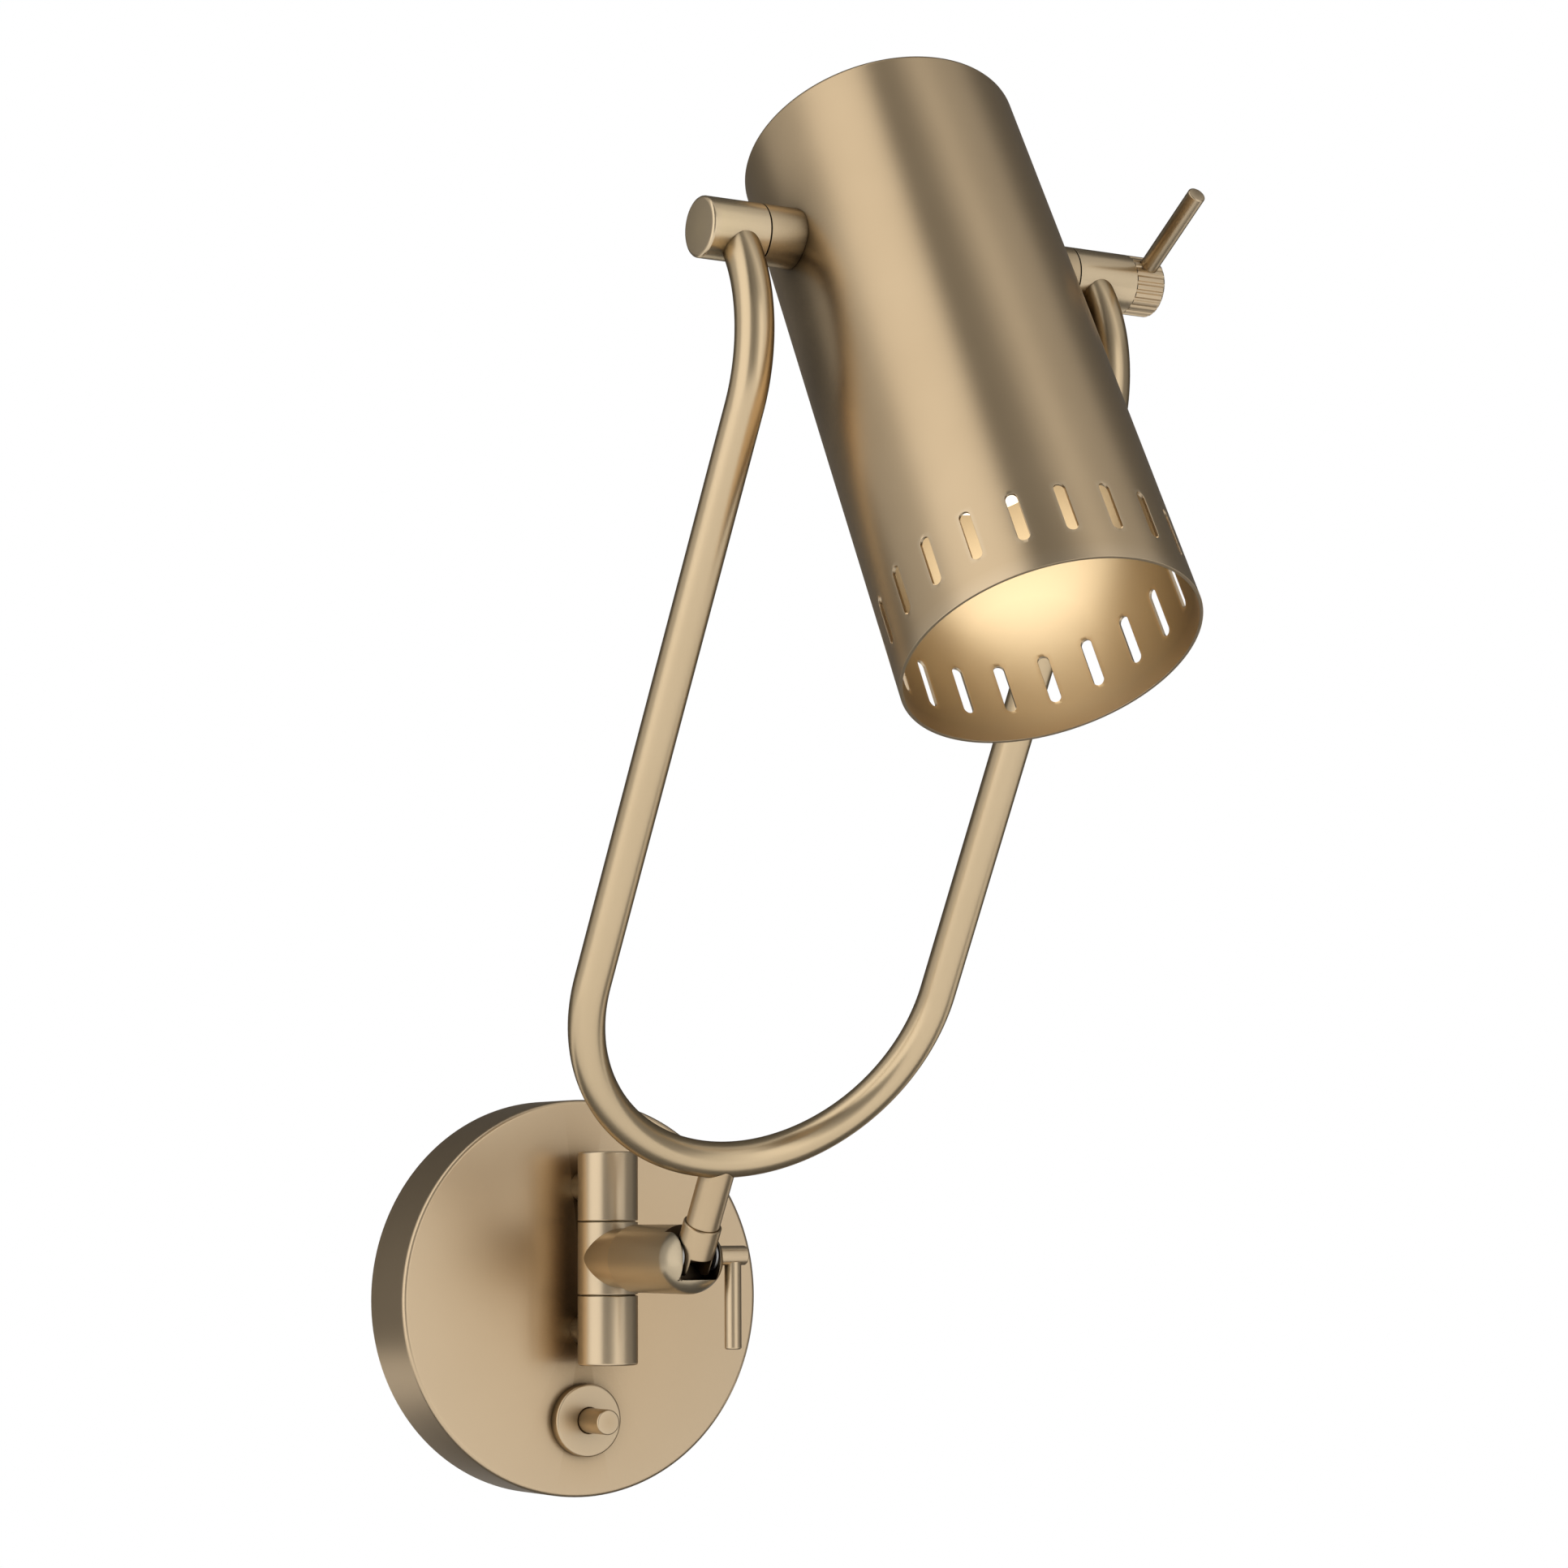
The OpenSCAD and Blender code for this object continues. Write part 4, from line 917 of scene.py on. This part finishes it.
@dataclass
class WallPlate:
    """The round backplate with its hinge posts and push switch."""

    radius: float = 63.5 * MM
    wall: float = 1.5 * MM
    edge: float = 1.4 * MM
    back_edge: float = 0.25 * MM
    lip_edge: float = 0.15 * MM
    inside_edge: float = 0.4 * MM
    screw_r: float = 2.1 * MM
    screw_y: float = 13.0 * MM
    knuckle_r: float = 9.6 * MM
    knuckle_start: float = 11.85 * MM
    knuckle_end: float = 33.75 * MM
    knuckle_edge: float = 0.8 * MM
    gap_edge: float = 0.3 * MM
    post_r: float = 5.0 * MM
    post_up: float = 22.8 * MM
    post_edge: float = 0.25 * MM
    post_short: float = 0.02 * MM
    thread_r: float = 4.0 * MM
    thread_len: float = 8.0 * MM
    thread_depth: float = 0.4 * MM
    thread_pitch: float = 1.0 * MM
    thread_bore: float = 2.5 * MM
    thread_lap: float = 0.1 * MM
    bore_gap: float = 0.1 * MM
    collar_r: float = 11.6 * MM
    collar_t: float = 4.0 * MM
    collar_edge: float = 0.8 * MM
    collar_lift: float = 0.02 * MM
    bore_edge: float = 0.3 * MM
    button_r: float = 4.0 * MM
    button_out: float = 17.5 * MM
    button_edge: float = 0.6 * MM
    button_gap: float = 0.12 * MM
    button_back: float = 19.4 * MM
    switch_r: float = 5.1 * MM
    switch_drop: float = 39.0 * MM

    def shell(self) -> None:
        """Spin the backplate and bore its holes."""
        depth, inner = PLACES.plate_depth, self.radius - self.wall
        face = depth - self.wall
        piece = Workpiece("backplate")
        outline = [(inner, 0.0, self.lip_edge), (self.radius, 0.0, self.back_edge),
                   (self.radius, depth, self.edge), (0.0, depth, 0.0), (0.0, face, 0.0),
                   (inner, face, self.inside_edge)]
        piece.lathe(outline, OUTWARDS, PLATE_SIDES, ring=True)
        bores = Workpiece("bores")
        for radius, up in ((self.thread_r + self.bore_gap, PLACES.hinge_up + self.post_up),
                           (self.thread_r + self.bore_gap, PLACES.hinge_up - self.post_up),
                           (self.switch_r, -self.switch_drop)):
            bores.lathe(solid(radius, face - PAST, depth + PAST), shift(z=up) @ OUTWARDS, HOLE_SIDES)
        for degrees in (0, 180):
            place = shift(y=-self.screw_y) @ turn("X", degrees)
            bores.lathe(solid(self.screw_r, inner - 2 * PAST, self.radius + 2 * PAST), place, HOLE_SIDES)
        piece.cut(bores)
        # the plate darkens as painted shade up to 17 mm from the hinge and other pieces
        piece.deliver("wall_plate", "canopy_shell", lathed(
            "plate_brass", OUTWARDS, bright=(0.785, 0.575, 0.348), deep=(0.71, 0.51, 0.30), crease=17 * MM,
            sheltered=(0.3, 0.92), marked=0.0))

    def knuckle(self, name: str, way: int) -> None:
        """Turn one fixed knuckle with its post and threaded end, the thread as a row of rings.

        Args:
            name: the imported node's name.
            way: 1 above the stub, -1 below it.
        """
        piece = Workpiece(name + "_turned")
        axis = PLACES.hinge() @ turn("X", 90 - 90 * way)
        outline = solid(self.knuckle_r, self.knuckle_start, self.knuckle_end, self.gap_edge,
                        self.knuckle_edge)
        piece.lathe(outline, axis)
        post = PLACES.hinge() @ shift(z=way * self.post_up) @ turn("X", -90)
        standoff = PLACES.hinge_out - PLACES.plate_depth
        outline = solid(self.post_r, 0.0, standoff - self.post_short, 0.0, self.post_edge)
        piece.lathe(outline, post, ROD_SIDES)
        start, end = standoff - self.thread_lap, standoff + self.thread_len
        root = self.thread_r - self.thread_depth
        turns = [(radius, start + (i + share) * self.thread_pitch, 0.0)
                 for i in range(int((end - start) / self.thread_pitch))
                 for radius, share in ((self.thread_r, 0.5), (root, 1.0))]
        piece.lathe([(self.thread_bore, start, 0.0), (root, start, 0.0), *turns, (root, end, 0.0),
                     (self.thread_bore, end, 0.0)], post, THREAD_SIDES, ring=True)
        piece.deliver("wall_plate", name, HINGE_BRASS)

    def switch(self) -> None:
        """Turn the switch's collar and its push button."""
        place = shift(y=-PLACES.plate_depth, z=-self.switch_drop) @ OUTWARDS
        # the collar and button darken as painted shade within 9 mm of other pieces
        finish = lathed("switch_brass", place, crease=9 * MM, sheltered=(0.4, 0.97), marked=0.006)
        collar = Workpiece("collar_turned")
        bore = self.button_r + self.button_gap
        outline = [(bore, 0.0, 0.0), (self.collar_r, self.collar_lift, 0.0),
                   (self.collar_r, self.collar_t, self.collar_edge), (bore, self.collar_t, self.bore_edge)]
        collar.lathe(outline, place, ring=True)
        collar.deliver("wall_plate", "switch_collar", finish)
        button = Workpiece("button_turned")
        outline = solid(self.button_r, -self.button_back, self.button_out, 0.0, self.button_edge)
        button.lathe(outline, place, ROD_SIDES)
        button.deliver("button", "switch_button", finish)

    def build(self) -> None:
        """Make the plate's pieces."""
        self.shell()
        self.knuckle("upper_knuckle", 1)
        self.knuckle("lower_knuckle", -1)
        self.switch()


@dataclass
class Elbow:
    """The swinging knuckle, the domed elbow and its clamp screw."""

    knuckle_r: float = 9.6 * MM
    knuckle_half: float = 11.45 * MM
    gap_edge: float = 0.3 * MM
    stub_r: float = 9.45 * MM
    seam_out: float = 20.2 * MM
    seam_edge: float = 0.4 * MM
    seam_gap: float = 0.2 * MM
    stub_edge: float = 0.9 * MM
    spigot_r: float = 7.0 * MM
    spigot_len: float = 8.0 * MM
    spigot_lap: float = 0.5 * MM
    radius: float = 10.65 * MM
    dome_out: float = 54.0 * MM
    slot_w: float = 13.0 * MM
    slot_floor: float = 6.2 * MM
    slot_corner: float = 1.2 * MM
    slot_back: float = 50.6 * MM
    cheek_seat: float = 8.296 * MM
    seat_r: float = 3.2 * MM
    screw_r: float = 2.0 * MM
    head_r: float = 3.0 * MM
    head_out: float = 17.9 * MM
    head_lift: float = 0.1 * MM
    head_back_edge: float = 0.25 * MM
    head_edge: float = 0.5 * MM
    rod_x: float = 13.65 * MM
    rod_r: float = 2.6 * MM
    rod_len: float = 28.6 * MM
    rod_seat: float = 1.1 * MM
    rod_top_edge: float = 0.2 * MM
    rod_edge: float = 0.6 * MM

    def knuckle(self) -> None:
        """Turn the middle knuckle with its stub."""
        piece = Workpiece("swing_knuckle_turned")
        half, edge = self.knuckle_half, self.gap_edge
        piece.lathe(solid(self.knuckle_r, -half, half, edge, edge), PLACES.hinge())
        stub = PLACES.hinge() @ OUTWARDS
        piece.lathe(solid(self.stub_r, 0.0, self.seam_out - self.seam_gap, 0.0, self.stub_edge), stub)
        start, end = self.seam_out - self.spigot_lap, self.seam_out + self.spigot_len
        piece.lathe(solid(self.spigot_r, start, end, 0.0, edge), stub, THREAD_SIDES)
        piece.deliver("swing_head", "swing_knuckle", HINGE_BRASS)

    def shell(self) -> None:
        """Turn the domed socket and mill the arm's slot and the screw's seat."""
        axis = PLACES.hinge() @ OUTWARDS
        dome = [(self.radius * math.cos(a), self.dome_out + self.radius * math.sin(a), 0.0)
                for a in map(math.radians, range(0, 90, 5))]
        piece = Workpiece("elbow_turned")
        piece.lathe([(0.0, self.seam_out, 0.0), (self.radius, self.seam_out, self.seam_edge), *dome,
                     (0.0, self.dome_out + self.radius, 0.0)], axis, ELBOW_SIDES)
        mill = Workpiece("mill")
        size = 2 * self.radius
        mill.box((self.slot_w, size, size), PLACES.hinge() @ shift(
            y=-self.slot_back - size / 2, z=-self.slot_floor + size / 2))
        floor = PLACES.hinge_up - self.slot_floor
        low = [e for e in mill.mesh.edges if all(v.co.z < floor + SAME for v in e.verts)
               and abs(e.verts[0].co.x - e.verts[1].co.x) < SAME]
        mill.round_off(low, self.slot_corner, 5)
        mill.lathe(solid(self.seat_r, self.cheek_seat, size), PLACES.tilt() @ RIGHTWARDS, THREAD_SIDES)
        piece.cut(mill)
        # the slot's inside faces take a near-black brass: painted shade, with some oxide
        back = -PLACES.hinge_out - self.slot_back
        near = 20 * SAME
        for face in piece.mesh.faces:
            at = face.calc_center_median()
            if abs(at.x) < self.slot_w / 2 + near and at.y < back + near and at.z > floor - near:
                face.material_index = 1
        # a darker, greyer copy of the brass, painted as shade, which also darkens within 60 mm of other
        # pieces
        outside = SatinBrass(
            "elbow_brass", grain=Grain.LATHED, turn=(90.0, 0.0, 0.0),
            centre=tuple(PLACES.hinge().translation), bright=(0.70, 0.575, 0.395),
            deep=(0.63, 0.51, 0.345), patina=(0.16, 0.155, 0.125), edge_radius=EDGE, crease=60 * MM,
            sheltered=(0.52, 1.0), marked=0.006)
        oxide_and_painted_shade = SatinBrass("slot_oxide_and_painted_shade", bright=(0.17, 0.125, 0.08), deep=(0.09, 0.066, 0.043),
                            roughness=0.45)
        piece.deliver("swing_head", "elbow", outside, smooth=30.0, inner=oxide_and_painted_shade)

    def clamp(self) -> None:
        """Turn the clamp screw's head and the rod that hangs from it."""
        axis = PLACES.tilt() @ RIGHTWARDS
        screw = Workpiece("clamp_screw_turned")
        under = self.cheek_seat + self.head_lift
        screw.lathe(solid(self.screw_r, -self.cheek_seat, under + self.head_lift), axis, HOLE_SIDES)
        head = solid(self.head_r, under, self.head_out, self.head_back_edge, self.head_edge)
        screw.lathe(head, axis, ROD_SIDES)
        screw.deliver("elbow_clamp", "clamp_screw", lathed("clamp_brass", axis))
        hang = PLACES.tilt() @ shift(x=self.rod_x) @ turn("X", 180)
        rod = Workpiece("clamp_rod_turned")
        outline = solid(self.rod_r, self.head_r - self.rod_seat, self.rod_len, self.rod_top_edge,
                        self.rod_edge)
        rod.lathe(outline, hang, ROD_SIDES)
        rod.deliver("elbow_clamp", "clamp_rod", lathed("rod_brass", hang))

    def build(self) -> None:
        """Make the head's pieces."""
        self.knuckle()
        self.shell()
        self.clamp()


@dataclass
class Arm:
    """The U-shaped tube and the barrels on its ends."""

    tube_r: float = 5.5 * MM
    low: float = 33.8 * MM
    half_w: float = 59.1 * MM
    centre_z: float = 92.9 * MM
    bend_r: float = 41.96 * MM
    bend_start: float = 270.97 * MM
    bend: float = 75.0
    stops: Tuple[float, float] = (6.5 * MM, 3.3 * MM)
    barrel_r: float = 8.65 * MM
    barrel_start: float = 51.7 * MM
    left_end: float = 69.9 * MM
    right_end: float = 71.4 * MM
    cap_t: float = 3.0 * MM
    cap_edge: float = 1.0 * MM
    seam_edge: float = 0.15 * MM
    right_edge: float = 0.12 * MM
    sides: int = 48
    bend_steps: int = 32
    straight_steps: int = 6

    def tube(self) -> None:
        """Bend the tube, one side at a time, from the middle of the U."""
        piece = Workpiece("bent_tube")
        mesh = piece.mesh
        straight = shift(z=(self.bend_start - self.centre_z) / self.straight_steps)
        for side, stop in zip((-1, 1), self.stops):
            ring = bmesh.ops.create_circle(mesh, segments=self.sides, radius=self.tube_r,
                                           matrix=shift(z=self.low) @ RIGHTWARDS)["verts"]
            edges = list({e for v in ring for e in v.link_edges})
            edges = sweep(mesh, edges, shift(z=self.centre_z), "Y", -90.0 * side, self.sides)
            for _ in range(self.straight_steps):
                edges = pull(mesh, edges, straight)
            arc = self.bend - math.degrees(stop / self.bend_r)
            middle = shift(side * self.half_w, self.bend_r, self.bend_start)
            edges = sweep(mesh, edges, middle, "X", -arc, self.bend_steps)
            bmesh.ops.edgeloop_fill(mesh, edges=edges)
        bmesh.ops.remove_doubles(mesh, verts=mesh.verts, dist=SAME)
        bmesh.ops.recalc_face_normals(mesh, faces=mesh.faces)
        bmesh.ops.transform(mesh, matrix=PLACES.arm(), verts=mesh.verts)
        # the tube's brass: a paler copy painted lighter, with painted shade within 18 mm of other pieces
        piece.deliver("arm", "yoke_tube", SatinBrass(
            "tube_brass", grain=Grain.DRAWN, turn=(-PLACES.arm_lean, 0.0, 0.0), bright=(0.85, 0.66, 0.42),
            deep=(0.78, 0.60, 0.37), roughness=0.285, rim_tone=0.35, crease=18 * MM, sheltered=(0.4, 0.97),
            marked=0.006))

    def barrels(self) -> None:
        """Turn the barrels and the left end cap."""
        left, right = PLACES.pivot() @ LEFTWARDS, PLACES.pivot() @ RIGHTWARDS
        # the barrels' brass: a much paler copy, a painted highlight, with painted shade within 16 mm of other
        # pieces
        finish = lathed("pivot_brass", right, bright=(0.98, 0.785, 0.505), deep=(0.92, 0.73, 0.46),
                        roughness=0.27, crease=16 * MM, sheltered=(0.4, 0.97), marked=0.008)
        seam, joint = self.seam_edge, self.left_end - self.cap_t
        rows = (("left_barrel_turned", "left_pivot_barrel", left, self.barrel_start, joint, seam, 0.0),
                ("left_cap_turned", "left_end_cap", left, joint, self.left_end, 0.0, self.cap_edge),
                ("right_barrel_turned", "right_pivot_barrel", right, self.barrel_start, self.right_end, seam,
                 self.right_edge))
        for name, node, axis, *heights in rows:
            piece = Workpiece(name)
            piece.lathe(solid(self.barrel_r, *heights), axis)
            piece.deliver("arm", node, finish)

    def build(self) -> None:
        """Make the arm's pieces."""
        self.tube()
        self.barrels()


@dataclass
class ClampKnob:
    """The fluted knob on the right pivot and its lever."""

    radius: float = 8.65 * MM
    start: float = 71.6 * MM
    end: float = 81.4 * MM
    edge: float = 1.0 * MM
    back_edge: float = 0.15 * MM
    flutes: int = 22
    flute_r: float = 0.65 * MM
    flute_out: float = 0.15 * MM
    lever_x: float = 76.5 * MM
    lever_r: float = 2.7 * MM
    lever_len: float = 37.5 * MM
    lever_edge: float = 0.5 * MM
    lever_lean: float = 57.0
    per_flute: int = 16

    def knob(self) -> None:
        """Turn the knob and press its flutes in."""
        piece = Workpiece("fluted_knob_cut")
        outline = solid(self.radius, self.start, self.end, self.back_edge, self.edge)
        piece.lathe(outline, Matrix.Identity(4), self.flutes * self.per_flute)
        period = 2 * math.pi / self.flutes
        reach = self.radius + self.flute_out
        for vert in piece.mesh.verts:
            radius = math.hypot(vert.co.x, vert.co.y)
            off = (math.atan2(vert.co.y, vert.co.x) + period / 2) % period - period / 2
            inside = self.flute_r ** 2 - (reach * math.sin(off)) ** 2
            if inside <= 0.0:
                continue
            groove = reach * math.cos(off) - math.sqrt(inside)
            if groove < radius:
                vert.co.x *= groove / radius
                vert.co.y *= groove / radius
        axis = PLACES.pivot() @ turn("X", self.lever_lean + 180.0 / self.flutes) @ RIGHTWARDS
        bmesh.ops.transform(piece.mesh, matrix=axis, verts=piece.mesh.verts)
        # the flutes darken as painted shade within 1 mm
        piece.deliver("shade_clamp", "fluted_knob", SatinBrass("knob_brass", crease=MM), smooth=32.0)

    def lever(self) -> None:
        """Turn the lever."""
        axis = PLACES.pivot() @ turn("X", self.lever_lean) @ shift(x=self.lever_x)
        piece = Workpiece("clamp_lever_turned")
        outline = solid(self.lever_r, self.radius - PAST, self.lever_len, 0.0, self.lever_edge)
        piece.lathe(outline, axis, ROD_SIDES)
        # the lever's brass: a darker copy, painted as shade
        piece.deliver("shade_clamp", "clamp_lever", lathed(
            "lever_brass", axis, bright=(0.60, 0.475, 0.315), deep=(0.50, 0.39, 0.25), marked=0.006))

    def build(self) -> None:
        """Make the knob and its lever."""
        self.knob()
        self.lever()


@dataclass
class Shade:
    """The tubular shade with its ring of slots."""

    top_r: float = 40.2 * MM
    rim_r: float = 42.1 * MM
    above: float = 39.7 * MM
    below: float = 139.9 * MM
    wall: float = 1.0 * MM
    wall_edge: float = 0.14 * MM
    top_edge: float = 1.5 * MM
    slots: int = 20
    slot_w: float = 3.2 * MM
    slot_len: float = 15.2 * MM
    slot_up: float = 9.4 * MM
    band: float = 12.0 * MM
    columns: int = 10
    rows: int = 6
    # the centre of the pool of lamp light painted on the lining
    painted_light_pool: Point = (22.8 * MM, 33.8 * MM, -113.9 * MM)

    def radius(self, z: float) -> float:
        """The outer radius at a height."""
        return self.rim_r + (self.top_r - self.rim_r) * (z + self.below) / (self.above + self.below)

    def sector(self, piece: Workpiece, middle: float) -> None:
        """Make one slot in its piece of wall, then bend it round the shade.

        Args:
            piece: the shade.
            middle: the height of the slots' middle.
        """
        mesh = piece.mesh
        share = 360.0 / self.slots
        width = 2 * math.pi * self.radius(middle) / self.slots
        frame_verts = bmesh.ops.create_grid(mesh, x_segments=self.columns, y_segments=self.rows, size=0.5,
                                            matrix=Matrix.Diagonal((width, 2 * self.band, 1.0, 1.0)))["verts"]
        faces = list({f for v in frame_verts for f in v.link_faces})
        bmesh.ops.delete(mesh, geom=faces, context="FACES_KEEP_BOUNDARY")
        outer = list(mesh.edges)
        count = len(outer)
        step = 180.0 / count
        outside = self.slot_w / 2 / math.cos(math.radians(step))
        ring = bmesh.ops.create_circle(mesh, segments=count, radius=outside, matrix=turn("Z", step))["verts"]
        stretch = (self.slot_len - self.slot_w) / 2
        for vert in ring:
            vert.co.y += math.copysign(stretch, vert.co.y)
        inner = list({e for v in ring for e in v.link_edges})
        bridges = bmesh.ops.bridge_loops(mesh, edges=outer + inner)["edges"]
        bmesh.ops.subdivide_edges(mesh, edges=bridges, cuts=3, use_grid_fill=False)
        for vert in mesh.verts:
            angle = math.radians(vert.co.x / width * share - 90.0)
            z = middle + vert.co.y
            radius = self.radius(z)
            vert.co = (radius * math.cos(angle), radius * math.sin(angle), z)

    def build(self) -> None:
        """Join the slotted band, the rim and the closed top, and give the wall its thickness."""
        piece = Workpiece("slotted_shade")
        mesh = piece.mesh
        middle = -self.below + self.slot_up + self.slot_len / 2
        self.sector(piece, middle)
        bmesh.ops.spin(mesh, geom=list(mesh.verts) + list(mesh.edges) + list(mesh.faces), cent=(0, 0, 0),
                       axis=(0, 0, 1), dvec=(0, 0, 0), angle=2 * math.pi * (self.slots - 1) / self.slots,
                       steps=self.slots - 1, use_duplicate=True)
        low, high = middle - self.band, middle + self.band
        steps = self.slots * self.columns
        piece.lathe([(self.radius(-self.below), -self.below, 0.0), (self.radius(low), low, 0.0)],
                    Matrix.Identity(4), steps)
        inset, shoulder = self.top_r - self.top_edge, self.above - self.top_edge
        wall = [(self.radius(z), z, 0.0) for z in (high + (shoulder - high) * i / 8 for i in range(9))]
        bend = [(inset + self.top_edge * math.cos(a), shoulder + self.top_edge * math.sin(a), 0.0)
                for a in map(math.radians, range(18, 91, 18))]
        top = [(inset * share, self.above, 0.0) for share in (0.75, 0.5, 0.25, 0.0)]
        piece.lathe([*wall, *bend, *top], Matrix.Identity(4), steps)
        bmesh.ops.remove_doubles(mesh, verts=mesh.verts, dist=5 * SAME)
        bmesh.ops.recalc_face_normals(mesh, faces=mesh.faces)
        bmesh.ops.solidify(mesh, geom=list(mesh.faces), thickness=self.wall)
        bmesh.ops.recalc_face_normals(mesh, faces=mesh.faces)
        corner = math.radians(60.0)
        piece.round_off([e for e in mesh.edges if e.is_manifold and e.calc_face_angle(0.0) > corner],
                        self.wall_edge, 2)
        # the lining is every face that looks inwards or down, apart from the rim
        for face in mesh.faces:
            at = face.calc_center_median()
            outside = face.normal.dot(Vector((at.x, at.y, 0.0))) > -0.2 * MM and face.normal.z > -0.5
            face.material_index = 0 if outside or at.z < -self.below + 0.3 * MM else 1
        bmesh.ops.transform(mesh, matrix=PLACES.shade(), verts=mesh.verts)
        # the shade's outside darkens as painted shade within 20 mm of the bosses, arm and barrels
        outer = lathed("shade_brass", PLACES.shade(), rim_tone=0.85, crease=20 * MM, sheltered=(0.38, 0.97),
                       marked=0.012)
        # the lining has a pool of lamp light painted on it, with painted shade around it
        lining = PaintedLightPoolLining("lining_with_painted_light_pool", bright=(0.92, 0.785, 0.575), deep=(0.87, 0.735, 0.525),
                            roughness=0.36, rim_tone=1.0,
                            middle=tuple(PLACES.shade() @ Vector(self.painted_light_pool)))
        piece.deliver("shade", "shade_shell", outer, inner=lining)


SLOT_FINISHES: Dict[str, Finish] = {
    "satin_brass": BRASS,
    "zinc_steel": PlatedSteel("zinc_steel_dressed"),
    "washer_brass": SatinBrass("washer_brass_dressed", bright=(0.72, 0.56, 0.30), deep=(0.6, 0.45, 0.22)),
    "green_screw": Moulded("green_enamel", body=(0.03, 0.20, 0.07), roughness=0.4, coat=0.3),
    "black_plastic": Moulded("black_plastic_dressed", body=(0.02, 0.02, 0.02)),
    "green_lead": Moulded("green_lead_dressed", body=(0.04, 0.26, 0.08), roughness=0.5),
    "white_lead": Moulded("white_lead_dressed", body=(0.72, 0.71, 0.67), roughness=0.5),
    "orange_cap": Moulded("orange_cap_dressed", body=(0.75, 0.20, 0.03), roughness=0.42),
    "porcelain": Moulded("porcelain_dressed", body=(0.78, 0.76, 0.71), roughness=0.25, coat=0.6),
    "frosted_glass": LitGlass("lit_bulb_glass"),
}


class Trim:
    """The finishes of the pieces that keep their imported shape."""

    def build(self) -> None:
        """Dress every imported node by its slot, then the foot and the bosses."""
        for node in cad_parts.values():
            for slot in node.material_slots:
                name = slot.material.name.split(".")[0] if slot.material else "satin_brass"
                slot.material = SLOT_FINISHES.get(name, BRASS).material()
        # the foot darkens as painted shade within 7 mm; the bosses are a paler copy painted lighter, with
        # painted shade within 16 mm
        SatinBrass("foot_brass", edge_radius=EDGE, crease=7 * MM).dress(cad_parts["arm_foot"])
        boss = SatinBrass("boss_brass", edge_radius=EDGE, crease=16 * MM, sheltered=(0.4, 0.97),
                          bright=(0.86, 0.67, 0.43), deep=(0.79, 0.61, 0.38), marked=0.006)
        for name in ("left_boss", "right_boss"):
            boss.dress(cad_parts[name])


def main() -> None:
    """Build the studio and the lamp, in order."""
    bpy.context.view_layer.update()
    parts = [Studio(), Trim(), WallPlate(), Elbow(), Arm(), ClampKnob(), Shade()]
    for part in parts:
        part.build()
        log.info("%s done", type(part).__name__)


if __name__ == "__main__":
    logging.basicConfig(level=logging.INFO, format="%(message)s")
    main()
